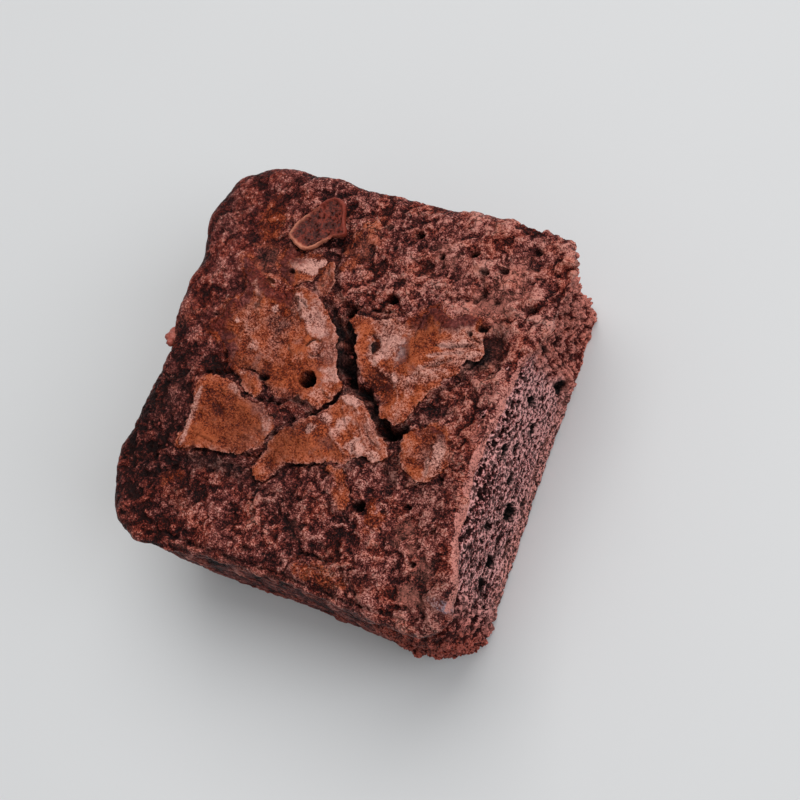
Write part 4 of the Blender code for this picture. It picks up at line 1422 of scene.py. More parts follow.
@dataclass
class CrumbBody:
    """The crumb below the crust: pan sides, the porous cut side with its torn end, and the flat foot.

    Args:
        shape: The brownie's shape.
        grain: The crumb's clods and grains.
        columns: Columns around.
        rows: Rows from the foot to the hidden closing face.
        cut_density: How much closer the columns stand on the cut side.
    """

    shape: BrownieShape
    grain: CrumbGrain
    columns: int = 880
    rows: int = 104
    cut_density: float = 2.3

    FOOT_ROUND = 0.9
    HIDDEN_ROWS = 6
    OVERLAP = 1.1
    CURL = 1.6
    CLOSING_LEVEL = 20.3
    CLOSING_INSET = 3.6
    LARGE_PORE = 1.15
    SMALL_PORE = 0.6
    REACH = (3, 11)
    GAIN = (1.6, 0.7)
    PALE_LIMIT = 0.3
    DARK_LIMIT = 0.5

    def column_angles(self) -> Array:
        """Directions of the columns, closer together on the cut side.

        Returns:
            The directions.
        """
        fine = np.linspace(-math.pi, math.pi, 4001)
        density = 1 + (self.cut_density - 1) * (1 - smooth_step(np.abs(fine), 0.85, 1.15))
        total = np.concatenate([[0.0], np.cumsum(0.5 * (density[1:] + density[:-1]))])
        return np.interp(np.arange(self.columns) / self.columns, total / total[-1], fine)

    def base(self, angle: Array, lip: Array) -> tuple[Array, Array]:
        """Place the grid on the plain sides.

        Args:
            angle: Directions (columns).
            lip: How far the crust hangs down in each direction.

        Returns:
            Points (rows + 1, columns, 3) and the depth below the rim of each one.
        """
        shape = self.shape
        side_rows = self.rows - self.HIDDEN_ROWS
        row = np.arange(self.rows + 1)[:, None]
        rim = shape.rim_level(angle)[None, :]
        top = rim - lip[None, :] + self.OVERLAP
        level = np.minimum(row / side_rows, 1) * top
        depth = rim - level
        radius = shape.side_radius(angle[None, :], depth)
        foot = np.clip(1 - level / self.FOOT_ROUND, 0, 1)
        radius = radius - self.FOOT_ROUND * (1 - np.sqrt(1 - foot**2))
        hidden = smooth_step(level, top - self.OVERLAP - 0.9, top + 0.2)
        radius = radius - self.CURL * hidden
        inner = np.clip((row - side_rows) / self.HIDDEN_ROWS, 0, 1)
        radius = radius - (self.CLOSING_INSET - self.CURL) * inner
        level = level + (self.CLOSING_LEVEL - level) * inner**2
        return around(radius, angle[None, :], level), depth

    def pores(self, places: Array, cut: Array) -> tuple[Array, Array]:
        """Open pores of the crumb.

        Args:
            places: Points (..., 3) in millimetres.
            cut: 1 where the knife opened the crumb.

        Returns:
            Heights in millimetres and painted shade from 0 to 1.
        """
        sway = Pattern.sway((41, 42, 43), places, 1.4, 2, 1.0)
        bent = places * np.array((1.0, 0.8, 1.0)) + 0.35 * sway
        near, _, own = Pattern(44).cells(bent, self.LARGE_PORE)
        large = (1 - smooth_step(near, 0.18, 0.42)) * (own > 0.4) * (0.4 + 0.6 * own)
        near, _, own = Pattern(45).cells(bent, self.SMALL_PORE)
        small = (1 - smooth_step(near, 0.20, 0.48)) * (own > 0.2)
        share = cut * 0.8 + 0.2
        return -(0.7 * large + 0.36 * small) * share, np.maximum(large, 0.85 * small) * share

    def build(self, material: bpy.types.Material) -> None:
        """Model the body and hand it over.

        Args:
            material: The crumb's finish.
        """
        shape = self.shape
        MeshWork.clear_selection()
        bpy.ops.mesh.primitive_cylinder_add(
            vertices=self.columns, radius=1.0, depth=1.0, end_fill_type="NGON", calc_uvs=False)
        work = MeshWork("crumb_body")
        work.edit_edges()
        bpy.ops.object.mode_set(mode="OBJECT")
        ends = work.places()[work.edge_ends(), 2]
        work.mesh.edges.foreach_set("select", np.abs(ends[:, 0] - ends[:, 1]) > 0.5)
        bpy.ops.object.mode_set(mode="EDIT")
        bpy.ops.mesh.subdivide(number_cuts=self.rows - 1)
        bpy.ops.object.mode_set(mode="OBJECT")
        flat = work.places()
        turn = np.arctan2(flat[:, 1], flat[:, 0])
        column = np.rint((turn - turn.min()) / (2 * math.pi) * self.columns).astype(int) % self.columns
        row = np.rint((flat[:, 2] + 0.5) * self.rows).astype(int)
        angle = self.column_angles()
        lip = shape.lip(angle)[0]
        base, depth = self.base(angle, lip)
        normal = grid_normals(base, wrap=True)
        x, y = base[..., 0], base[..., 1]
        cut_here = np.broadcast_to(shape.cut_share(angle), x.shape)
        uneven = Pattern(25).rough(base, 1.5, 3, 0.7)
        big = Pattern(26).rough(base, 5, 3, 0.8)
        torn = shape.tear_share(np.broadcast_to(angle, x.shape), y + 2 * big + 0.8 * uneven)
        clean_cut = cut_here * (1 - torn)
        clods = self.grain.clods(base)
        height = clods * (0.55 * (1 - cut_here) + 0.25 * clean_cut + 0.5 * torn)
        height += 0.3 * big * (1 - clean_cut)
        lumps = np.abs(Pattern(27).rough(base + 0.8 * big[..., None], 2.6, 3, 0.7)) - 0.2
        frayed = Pattern(29).rough(base, 1.3, 4, 0.5)
        height += torn * (1.2 * lumps + 0.26 * frayed - 0.2 - 0.7 * smooth_step(depth, 3, 11))
        pore_height, pore_shade = self.pores(base, cut_here)
        height += pore_height * (1 - 0.35 * torn)
        # Painted shade in the open pores.
        dark = 0.75 * pore_shade
        near, second, own = Pattern(46).cells(base + 0.7 * np.stack([frayed, lumps, big], axis=-1), 1.5)
        open_gap = (1 - smooth_step(second - near, 0.04, 0.3)) * smooth_step(own, 0.15, 0.5)
        loose = np.maximum(torn, shape.corner_share(x, y))
        height += loose * (0.6 * (own - 0.5) - 0.5 * open_gap)
        # Painted shade in gaps between loose lumps.
        dark = np.maximum(dark, 0.6 * loose * open_gap * smooth_step(uneven, -0.4, 0.4))
        for mark in SIDE_MARKS:
            share = mark.share(y, depth, uneven) * cut_here
            height += mark.height * share
            # Painted shade in opened bubbles of the cut side.
            dark = np.maximum(dark, mark.darkness * smooth_step(share, 0, 0.1))
        corner = shape.corner_share(x, y)
        groove = np.exp(-(((depth - 3.6) / 1.3) ** 2))
        bulge = smooth_step(depth, 5, 9) * (1 - smooth_step(depth, 17, 23))
        ridges = 0.8 * lumps + 0.3 * frayed
        height += corner * (-1.4 * groove + 0.7 * bulge + ridges)
        shadow = np.clip(0.85 * groove - 0.8 * frayed - 0.8 * lumps * (1 - groove), 0, 0.9)
        dark = np.maximum(dark, corner * shadow)
        row_share = np.arange(self.rows + 1)[:, None] / self.rows
        calm = 1 - smooth_step(row_share, 1 - 5 / self.rows, 1)
        height *= calm * smooth_step(base[..., 2], 0, 0.6)
        places = base + normal * height[..., None]
        places[..., 2] = np.maximum(places[..., 2], 0)
        # Painted shade in hollows and paler raised places, painted shade over the darker stretches, and
        # paler towards the back of the cut side.
        cavity = stand_out(height, self.REACH, self.GAIN, wrap=True)
        calmed = soft_limit(cavity, self.PALE_LIMIT, self.DARK_LIMIT)
        cavity = calmed + (cavity - calmed) * clean_cut
        cavity += 0.5 + 0.13 * clean_cut * smooth_step(y, -9, 3)
        for shade in SIDE_SHADES:
            cavity -= shade.darkness * shade.share(y, depth, uneven) * clean_cut
        tones = {
            "cavity": cavity, "dark": dark, "cut": clean_cut, "torn": torn, "corner": corner,
            "foot": 1 - smooth_step(base[..., 2] + 1.2 * uneven, 2, 8),
            # under: painted shade just below the crust's lip.
            "under": np.exp(-(((depth - lip - 0.6) / 1.4) ** 2)),
        }
        work.move(places[row, column])
        work.note(**{name: values[row, column] for name, values in tones.items()})
        work.lay_map(np.column_stack([column / self.columns, row / self.rows]), wrap=True)
        work.finish(material, BROWNIE_NODE, BROWNIE_SLOT)


@dataclass
class CrustFlake:
    """The loose chip lying on the top, its torn porous side up.

    Args:
        shape: The brownie's shape; not used.
        cells: Grid cells across.
        thickness: How thick it is at its rim.
        dish: How far its middle dips.
        rim: Width of the smooth rim left along its border.
    """

    shape: BrownieShape
    cells: int = 84
    thickness: float = 1.15
    dish: float = 0.35
    rim: float = 0.42

    UNDERSIDE = 25.75
    SCALES = (1.0, 1.03, 1.0, 0.9)
    LUMP = (-4.7, 22.8)
    OUTLINE: Run = (
        (-8.5, 27.5), (-7, 27.8), (-5.8, 27.1), (-5.3, 26), (-4.9, 25), (-4.5, 24), (-3.9, 23.1),
        (-4, 22.2), (-5, 21.9), (-6, 21.7), (-7, 20.8), (-8.2, 19.7), (-9.7, 18.9), (-11, 19.3),
        (-12.2, 20), (-13.1, 20.8), (-12.6, 22.5), (-11.5, 24), (-10.3, 25.2), (-9.4, 26.6))

    def build(self, material: bpy.types.Material) -> None:
        """Model the flake and hand it over.

        Args:
            material: The chip's finish.
        """
        centre = np.array(self.OUTLINE).mean(axis=0)
        outline = PolarOutline(self.OUTLINE, tuple(centre))
        work = MeshWork.grid("crust_flake_chip", self.cells, self.cells)
        work.extrude_border(3)
        flat = work.places()
        step = np.rint(-flat[:, 2] / STEP_DOWN).astype(int)
        u, v = flat[:, 0], flat[:, 1]
        reach, angle, square = square_rings(u, v)
        radius = outline.radius(angle) + 0.14 * Pattern(51).rough(around(4.0, angle, 0.0), 0.9, 2)
        away = outline.fill(reach, square, radius)
        inward = np.maximum(radius - away, 0)
        scale = np.choose(step, self.SCALES)
        x = centre[0] + away * scale * np.cos(angle)
        y = centre[1] + away * scale * np.sin(angle)
        places = xyz(x, y, 26.0)
        uneven = 0.15 * Pattern(52).rough(places, 0.7, 2) + 0.25 * Pattern(57).rough(places, 2.2, 2)
        inside = smooth_step(inward + uneven, self.rim * 0.4, self.rim * 1.6)
        near, _, own = Pattern(53).cells(places, 0.62)
        pores = (1 - smooth_step(near, 0.15, 0.45)) * (own > 0.3)
        near, _, own = Pattern(54).cells(places, 1.3)
        pores = np.maximum(pores, (1 - smooth_step(near, 0.1, 0.32)) * (own > 0.55))
        clods = Pattern(55).rough(places, 1.6, 3, 0.7)
        lump = np.exp(-((x - self.LUMP[0]) ** 2 + (y - self.LUMP[1]) ** 2) / 0.5)
        top = self.UNDERSIDE + self.thickness - 0.12 * (1 - smooth_step(inward, 0, 0.25)) ** 2
        top += inside * (-0.28 - 0.36 * pores + 0.16 * clods) - self.dish * (1 - reach**2)
        top += 0.35 * lump + 0.16 * Pattern(56).rough(places, 3, 2) * smooth_step(inward, 0, 1)
        waist, foot = self.UNDERSIDE + 0.72 * self.thickness, self.UNDERSIDE + 0.2
        work.move(xyz(x, y, np.choose(step, (top, waist, foot, self.UNDERSIDE))))
        work.note(inside=inside * (step == 0), pores=pores * inside * (step == 0),
                  # pale: painted light towards the lower-left side.
                  pale=smooth_step(centre[0] + centre[1] - x - y, -3.5, 4) + 0.3 * clods)
        work.lay_map(np.column_stack([u * scale, v * scale]) * 0.45 + 0.5)
        work.finish(material, FLAKE_NODE, FLAKE_SLOT)


@dataclass
class LooseCrumbs:
    """Crumbs that cling to the top and its rim, joined into one piece.

    Args:
        shape: The brownie's shape.
        grain: The crumb's hills, which the crumbs lie on.
        count: How many there are.
        lumps: Larger ones at chosen places: x, y, z and width.
    """

    shape: BrownieShape
    grain: CrumbGrain
    count: int = 90
    lumps: tuple[tuple[float, float, float, float], ...] = (
        (-28.7, 1.6, 24.0, 2.5), (-29.1, 2.6, 23.4, 1.6), (-28.4, 0.6, 24.2, 1.5))

    SPREAD = (-25.0, 26.0)
    SIZES = (0.28, 0.62)

    def build(self, material: bpy.types.Material) -> None:
        """Model the crumbs and hand them over.

        Args:
            material: The crumbs' finish.
        """
        chance = np.random.default_rng(5)
        crumbs = []
        for number in range(self.count):
            x, y = chance.uniform(*self.SPREAD, 2)
            size = chance.uniform(*self.SIZES)
            here = np.array([x]), np.array([y])
            if any(plate.near(*here, 0.0)[0] and plate.measure(*here).depth[0] > -0.5 for plate in PLATES):
                continue
            rim = self.shape.RIM_HEIGHT
            place = np.array([[x, y, rim]])
            level = rim + self.shape.CROWN * (1 - np.hypot(x, y) ** 2 / 900) + self.grain.hills(place)[0]
            level += self.grain.clods(place)[0] * 0.9
            crumbs.append(self.crumb(number, (x, y, level + 0.1 * size), size, chance, 0.0))
        for number, (*place, size) in enumerate(self.lumps, self.count):
            crumbs.append(self.crumb(number, tuple(place), size, chance, 1.0))
        MeshWork.clear_selection()
        for item in crumbs:
            item.select_set(True)
        bpy.context.view_layer.objects.active = crumbs[0]
        bpy.ops.object.join()
        work = MeshWork("loose_crumbs")
        work.finish(material, BROWNIE_NODE, BROWNIE_SLOT)

    @staticmethod
    def crumb(number: int, place: Point3, size: float,
              chance: np.random.Generator, pale: float) -> bpy.types.Object:
        """Model one crumb: a faceted ball pressed out of shape.

        Args:
            number: Its number.
            place: Where its middle is, in millimetres.
            size: Its width.
            chance: Where its uneven sizes come from.
            pale: How pale it is, from 0 to 1.

        Returns:
            The new object.
        """
        MeshWork.clear_selection()
        bpy.ops.mesh.primitive_ico_sphere_add(subdivisions=2, radius=1.0, calc_uvs=False)
        work = MeshWork(f"crumb_{number}")
        ball = work.places()
        squeeze = chance.uniform(0.65, 1.1, 3) * np.array((1.0, 1.0, 0.75))
        dents = 1 + 0.35 * Pattern(70 + number).waves(ball, 0.9)
        work.move(ball * dents[:, None] * squeeze * 0.5 * size + np.array(place))
        work.note(pale=np.full(len(ball), pale))
        return work.item


class Value:
    """A shader number that takes part in sums, so that an expression adds its own Math nodes."""

    def __init__(self, book: "NodeBook", socket: bpy.types.NodeSocket) -> None:
        """Wrap a socket of this material's tree."""
        self.book = book
        self.socket = socket

    def _join(self, operation: str, first: "Value | float", second: "Value | float") -> "Value":
        """Add one Math node."""
        made = self.book.node("ShaderNodeMath", {"operation": operation}, (first, second))
        return Value(self.book, made)

    def __add__(self, other: "Value | float") -> "Value":
        """Add."""
        return self._join("ADD", self, other)

    def __radd__(self, other: "Value | float") -> "Value":
        """Add to a number."""
        return self._join("ADD", other, self)

    def __sub__(self, other: "Value | float") -> "Value":
        """Subtract."""
        return self._join("SUBTRACT", self, other)

    def __rsub__(self, other: "Value | float") -> "Value":
        """Subtract from a number."""
        return self._join("SUBTRACT", other, self)

    def __mul__(self, other: "Value | float") -> "Value":
        """Multiply."""
        return self._join("MULTIPLY", self, other)

    def __rmul__(self, other: "Value | float") -> "Value":
        """Multiply a number."""
        return self._join("MULTIPLY", other, self)

    def highest(self, other: "Value | float") -> "Value":
        """The larger of the two."""
        return self._join("MAXIMUM", self, other)

    def rise(self, low: float, high: float) -> "Value":
        """Rise softly from 0 at low to 1 at high."""
        return Value(self.book, self.book.node(
            "ShaderNodeMapRange", {"interpolation_type": "SMOOTHSTEP"}, (self, low, high, 0.0, 1.0)))


class NodeBook:
    """Makes the nodes of one material."""

    def __init__(self, name: str) -> None:
        """Start an empty material whose patterns are laid out in millimetres on the object.

        Args:
            name: The material's name.
        """
        self.material = bpy.data.materials.new(name)
        self.material.use_nodes = True
        self.tree = self.material.node_tree
        self.tree.nodes.clear()
        spot = self.tree.nodes.new("ShaderNodeTexCoord").outputs["Object"]
        self.place = self.node("ShaderNodeMapping", {}, {"Vector": spot, "Scale": (1 / MM,) * 3})

    def node(self, kind: str, settings: dict, inputs: dict | tuple,
             output: int | str = 0) -> bpy.types.NodeSocket:
        """Add a node.

        Args:
            kind: Its type.
            settings: Attributes, set first; "stops" fills a colour ramp.
            inputs: Values or links, by socket name or in order.
            output: Which of its outputs is wanted.

        Returns:
            That output.
        """
        made = self.tree.nodes.new(kind)
        for key, value in settings.items():
            if key == "stops":
                ramp = made.color_ramp
                while len(ramp.elements) < len(value):
                    ramp.elements.new(0.5)
                for element, (position, colour) in zip(ramp.elements, value):
                    element.position = position
                    element.color = (*colour, 1.0)
            else:
                setattr(made, key, value)
        pairs = inputs.items() if isinstance(inputs, dict) else enumerate(inputs)
        for key, value in pairs:
            socket = made.inputs[key]
            if isinstance(value, Value):
                value = value.socket
            if isinstance(value, bpy.types.NodeSocket):
                self.tree.links.new(value, socket)
            elif isinstance(value, tuple) and len(value) == 3 and socket.type == "RGBA":
                socket.default_value = (*value, 1.0)
            else:
                socket.default_value = value
        return made.outputs[output]

    def noted(self, name: str) -> Value:
        """A value noted on the mesh."""
        return Value(self, self.node("ShaderNodeAttribute", {"attribute_name": name}, {}, "Fac"))

    def moved(self, shift: Point3) -> bpy.types.NodeSocket:
        """The place on the object, moved by this much to another part of a pattern."""
        return self.node("ShaderNodeVectorMath", {"operation": "ADD"}, (self.place, shift))

    def rough(self, size: float, detail: float = 3.0, seed: float = 0.0, harsh: float = 0.55) -> Value:
        """Uneven pattern from 0 to 1 with hills this many millimetres apart.

        Args:
            size: The distance between hills.
            detail: How many finer layers there are.
            seed: Which pattern it is.
            harsh: How strong the finer layers are.

        Returns:
            The pattern.
        """
        spot = self.moved((seed * 7.3, seed * 3.1, seed))
        return Value(self, self.node("ShaderNodeTexNoise", {}, {
            "Vector": spot, "Scale": 1 / size, "Detail": detail, "Roughness": harsh}))

    def cells(self, size: float, seed: float = 0.0, sway: float = 0.0) -> Value:
        """Distance to scattered centres.

        Args:
            size: How many millimetres they are apart.
            seed: Which pattern it is.
            sway: How far noise bends the pattern, in millimetres.

        Returns:
            The distance as a share of size, from 0 to about 1.
        """
        spot = self.moved((seed * 5.7, seed * 2.9, seed))
        if sway:
            bend = self.node(
                "ShaderNodeTexNoise", {}, {"Vector": spot, "Scale": 0.7 / size, "Detail": 2.0}, "Color")
            spot = self.node(
                "ShaderNodeVectorMath", {"operation": "MULTIPLY_ADD"}, (bend, (2 * sway,) * 3, spot))
        return Value(self, self.node(
            "ShaderNodeTexVoronoi", {}, {"Vector": spot, "Scale": 1 / size}, "Distance"))

    def ramp(self, factor: Value, stops: tuple[tuple[float, Colour], ...]) -> bpy.types.NodeSocket:
        """A colour read from stops by a value from 0 to 1."""
        return self.node("ShaderNodeValToRGB", {"stops": stops}, (factor,))

    def mix(self, factor: Value | float, low: bpy.types.NodeSocket | Colour,
            high: bpy.types.NodeSocket | Colour, blend: str = "MIX") -> bpy.types.NodeSocket:
        """Mix two colours, from low at 0 to high at 1.

        Args:
            factor: The share of high.
            low: A colour.
            high: A colour.
            blend: How they are blended.

        Returns:
            The mixed colour.
        """
        return self.node(
            "ShaderNodeMix", {"data_type": "RGBA", "blend_type": blend, "clamp_factor": True},
            {0: factor, 6: low, 7: high}, 2)

    def bump(self, height: Value, distance: float, under: bpy.types.NodeSocket | None = None,
             strength: float = 1.0) -> bpy.types.NodeSocket:
        """Bump normals from a height that spans this many millimetres.

        Args:
            height: The relief, from 0 to 1.
            distance: How high 1 is.
            under: Normals to start from.
            strength: How strong it is.

        Returns:
            The normals.
        """
        inputs = {"Strength": strength, "Distance": distance * MM, "Height": height}
        if under is not None:
            inputs["Normal"] = under
        return self.node("ShaderNodeBump", {}, inputs)

    def close(self, **inputs: object) -> bpy.types.Material:
        """Wire the Principled shader.

        Args:
            inputs: Values or links, by socket name with _ for spaces.

        Returns:
            The material.
        """
        shader = self.node(
            "ShaderNodeBsdfPrincipled", {}, {key.replace("_", " "): value for key, value in inputs.items()})
        out = self.tree.nodes.new("ShaderNodeOutputMaterial")
        self.tree.links.new(shader, out.inputs["Surface"])
        return self.material


@dataclass(frozen=True)
class CrumbTones:
    """Browns shared by the finishes."""

    stops: tuple[float, ...] = (0.06, 0.3, 0.52, 0.76, 1.0)
    purple: tuple[Colour, ...] = (
        (0.008, 0.0026, 0.0029), (0.048, 0.007, 0.0067), (0.128, 0.0255, 0.022), (0.285, 0.08, 0.066),
        (0.6, 0.25, 0.205))
    russet: tuple[Colour, ...] = (
        (0.01, 0.0018, 0.0014), (0.058, 0.0064, 0.0046), (0.155, 0.0205, 0.013), (0.315, 0.066, 0.042),
        (0.57, 0.2, 0.145))
    deep: Colour = (0.01, 0.0022, 0.002)
    low: Colour = (0.055, 0.0065, 0.005)
    middle: Colour = (0.15, 0.02, 0.013)
    high: Colour = (0.3, 0.062, 0.044)
    tip: Colour = (0.5, 0.17, 0.125)
    # Near black for painted shade in cracks, holes, dips and pores.
    crack: Colour = (0.0035, 0.003, 0.0034)
    glint: Colour = (0.045, 0.026, 0.029)
    skin_deep: Colour = (0.05, 0.006, 0.004)
    skin_dark: Colour = (0.13, 0.016, 0.0055)
    skin: Colour = (0.25, 0.037, 0.008)
    skin_light: Colour = (0.45, 0.1, 0.034)
    # Pale bloom and painted sheen on the plates.
    bloom: Colour = (0.73, 0.38, 0.32)
    # Pale bloom and painted sheen on the crust.
    crust_sheen: Colour = (0.56, 0.2, 0.155)
    dull: Colour = (0.19, 0.064, 0.054)
    # Painted bluish sheen on the plates.
    grey_sheen: Colour = (0.25, 0.165, 0.17)
    # Painted bluish sheen on the crust.
    lilac_sheen: Colour = (0.34, 0.27, 0.325)
    # Painted glint colour for specks on the crust's grains.
    painted_glint_tone: Colour = (0.74, 0.4, 0.34)
    # Pale lip tone; also laid on as painted highlight on plate edges and torn tips, and on the pale foot.
    lip: Colour = (0.69, 0.265, 0.22)

    def crumb(self, book: NodeBook, level: Value, fine: Value) -> bpy.types.NodeSocket:
        """Crumb that wanders between purple brown and russet.

        Args:
            book: The material's nodes.
            level: How pale it is, from 0 to 1.
            fine: Its finest roughness, from 0 to 1.

        Returns:
            The colour.
        """
        hue = (book.rough(3.4, 3, 21) + 0.6 * (fine - 0.5)).rise(0.42, 0.66)
        purple = book.ramp(level, tuple(zip(self.stops, self.purple)))
        return book.mix(hue, purple, book.ramp(level, tuple(zip(self.stops, self.russet))))


@dataclass(frozen=True)
class CrustFinish:
    """Granular crust: painted shade in dark crevices, lighter grain tips partly as painted highlight, warm
    and dull patches, painted sheen and glints, black painted shade in cracks.
    """

    tones: CrumbTones = CrumbTones()

    def material(self) -> bpy.types.Material:
        """Make the material.

        Returns:
            The material.
        """
        tones, book = self.tones, NodeBook("crust_grain")
        fine, mottle = book.rough(0.34, 3, 1, 0.6), book.rough(1.7, 2, 2, 0.5)
        patch, sharp = book.rough(5, 3, 3), book.noted("coarse").rise(0.5, 0.95)
        grains, grit = 1 - book.cells(0.56, 4, 0.25), book.rough(0.2, 2, 31, 0.6)
        # The level takes painted shade in hollows and paler raised places, and the painted side light.
        level = (0.52 + 1.1 * (book.noted("cavity") - 0.5) + 0.35 * (grains - 0.55)
                 + 0.17 * book.noted("pale") + 0.6 * (mottle - 0.5) + 0.7 * (patch - 0.5)
                 + (0.95 + 0.45 * sharp) * (fine - 0.5) + (1.1 + 1.1 * sharp) * (grit - 0.5))
        crumb = tones.crumb(book, level, fine)
        warm = book.ramp(level, (
            (0.08, tones.skin_deep), (0.32, tones.skin_dark), (0.54, tones.skin), (0.90, tones.skin_light)))
        cover = book.noted("cover")
        warmth = book.noted("warmth")
        warm_share = 0.75 * cover + 0.6 * warmth + (mottle + fine - 1) * 2 * (cover + warmth)
        colour = book.mix(0.85 * warm_share.rise(0.1, 0.85), crumb, warm)
        colour = book.mix((0 - warmth).rise(0, 0.9) * 0.4, colour, tones.dull)
        # Painted bluish sheen where warmth falls far below 0.
        lilac_sheen = (0 - warmth).rise(0.9, 1.5) * (mottle + fine + grit).rise(1.35, 1.7)
        colour = book.mix(0.85 * lilac_sheen, colour, tones.lilac_sheen)
        streaks = 2.6 * (mottle - 0.5) + 2.2 * (fine - 0.5) + 2.4 * (grit - 0.5)
        # Pale bloom and painted sheen, broken into streaks.
        bloom = (book.noted("bloom") * (1 + streaks)).rise(0.1, 1)
        colour = book.mix(0.55 * bloom, colour, tones.crust_sheen)
        # Pale lip on the crust's edge: its own paler tone, with painted light on it.
        lip = (book.noted("lip") + 2 * (mottle - 0.5) + 1.6 * (fine - 0.5)).rise(0.4, 0.8)
        lip_tone = book.mix((fine + 0.6 * mottle + grit).rise(1.03, 1.4), tones.low, tones.lip)
        colour = book.mix(0.9 * lip, colour, lip_tone)
        # Painted shade in narrow creases between lumps.
        creases = (mottle - 0.5) * (mottle - 0.5) * 900
        creases = (1 - creases.rise(0, 1)) * (patch + fine).rise(0.92, 1.1) * (1 - lip)
        colour = book.mix(0.75 * creases, colour, tones.deep)
        # Painted glints: rare pale specks on grain tips, weaker where painted side shade falls.
        painted_glint_specks = (grit + 0.7 * fine + 0.5 * grains + 0.6 * book.noted("cavity")).rise(1.62, 1.78)
        colour = book.mix(0.42 * painted_glint_specks * book.noted("pale").rise(-1.4, 0.2), colour, tones.painted_glint_tone)
        # Painted shade from cracks, holes, dips and plate edges, with painted glints on crack floors.
        dark = book.noted("dark")
        glint = (grains + 1.5 * (grit - 0.5)).rise(0.75, 0.95) * dark.rise(0.5, 0.9)
        colour = book.mix(0.95 * dark, colour, book.mix(glint, tones.crack, tones.glint))
        rough = 0.42 - 0.25 * (grains - 0.5) - 0.8 * (fine - 0.5)
        relief = 0.6 * grains + 0.9 * fine + 0.4 * grit - 0.4 * creases
        normal = book.bump(relief, 0.32, book.bump(mottle, 0.6))
        return book.close(Base_Color=colour, Roughness=rough, Normal=normal, IOR=CRUMB_IOR,
                          Specular_IOR_Level=0.11)


@dataclass(frozen=True)
class SkinFinish:
    """Smooth warm skin of the plates, finely mottled, with pale bloom and painted sheen, painted highlight
    on raised edges, and black painted shade in splits.
    """

    tones: CrumbTones = CrumbTones()

    def material(self) -> bpy.types.Material:
        """Make the material.

        Returns:
            The material.
        """
        tones, book = self.tones, NodeBook("plate_skin")
        fine, mottle = book.rough(0.34, 4, 5, 0.6), book.rough(1.7, 4, 6, 0.6)
        patch = book.rough(5, 3, 7)
        grains, grit = 1 - book.cells(0.55, 7, 0.35), book.rough(0.2, 2, 32, 0.6)
        # The level takes painted shade and light by height.
        level = (0.52 + 1.6 * (fine - 0.5) + 1.2 * (mottle - 0.5) + 1.2 * (patch - 0.5) + 2.1 * (grit - 0.5)
                 + 0.6 * (book.noted("cavity") - 0.5))
        colour = book.ramp(level, (
            (0.06, tones.skin_deep), (0.29, tones.skin_dark), (0.51, tones.skin), (0.80, tones.skin_light)))
        warmth = book.noted("warmth")
        mauve = ((0.75 - warmth) + 2 * (patch - 0.5) + 1.5 * (mottle - 0.5)).rise(0, 1)
        colour = book.mix(0.5 * mauve, colour, tones.dull)
        # Painted bluish-grey sheen where warmth falls below 0.
        colour = book.mix(0.75 * (0 - warmth + fine - 0.5).rise(0.3, 1.2), colour, tones.grey_sheen)
        streaks = 2.4 * (mottle - 0.5) + 2.2 * (fine - 0.5) + 2.2 * (grit - 0.5)
        # Pale bloom and painted sheen, broken into streaks.
        bloom = (book.noted("bloom") * (0.95 + streaks) + 0.36 * streaks).rise(0.1, 1.2)
        colour = book.mix(0.85 * bloom, colour, tones.bloom)
        # Painted highlight along raised plate edges.
        edge = book.noted("edge") * (fine + mottle).rise(0.85, 1.2)
        colour = book.mix(0.25 * edge, colour, tones.lip)
        torn = 0.5 + 0.35 * (grains - 0.55) + 0.8 * (mottle - 0.5) + 1.1 * (fine - 0.5)
        crumb = tones.crumb(book, torn, fine)
        frayed = (book.noted("fray") + 2.4 * (mottle - 0.5) + 0.8 * (fine - 0.5)).rise(0.25, 0.85)
        colour = book.mix(frayed, colour, crumb)
        # Painted shade on the plate's side wall under its edge.
        wall = book.ramp(mottle, ((0.38, tones.deep), (0.5, tones.low), (0.66, tones.middle)))
        colour = book.mix(book.noted("wall"), colour, wall)
        # Painted shade in splits, dents and holes, and a darker tone in a few patches.
        colour = book.mix(0.92 * book.noted("dark"), colour, tones.crack)
        rough = 0.46 - 0.8 * (fine - 0.5) - 0.4 * (mottle - 0.5)
        normal = book.bump(fine + 0.6 * frayed * grains + 0.5 * grit, 0.22, book.bump(mottle, 0.7))
        return book.close(Base_Color=colour, Roughness=rough, Normal=normal, IOR=CRUMB_IOR,
                          Specular_IOR_Level=0.18)


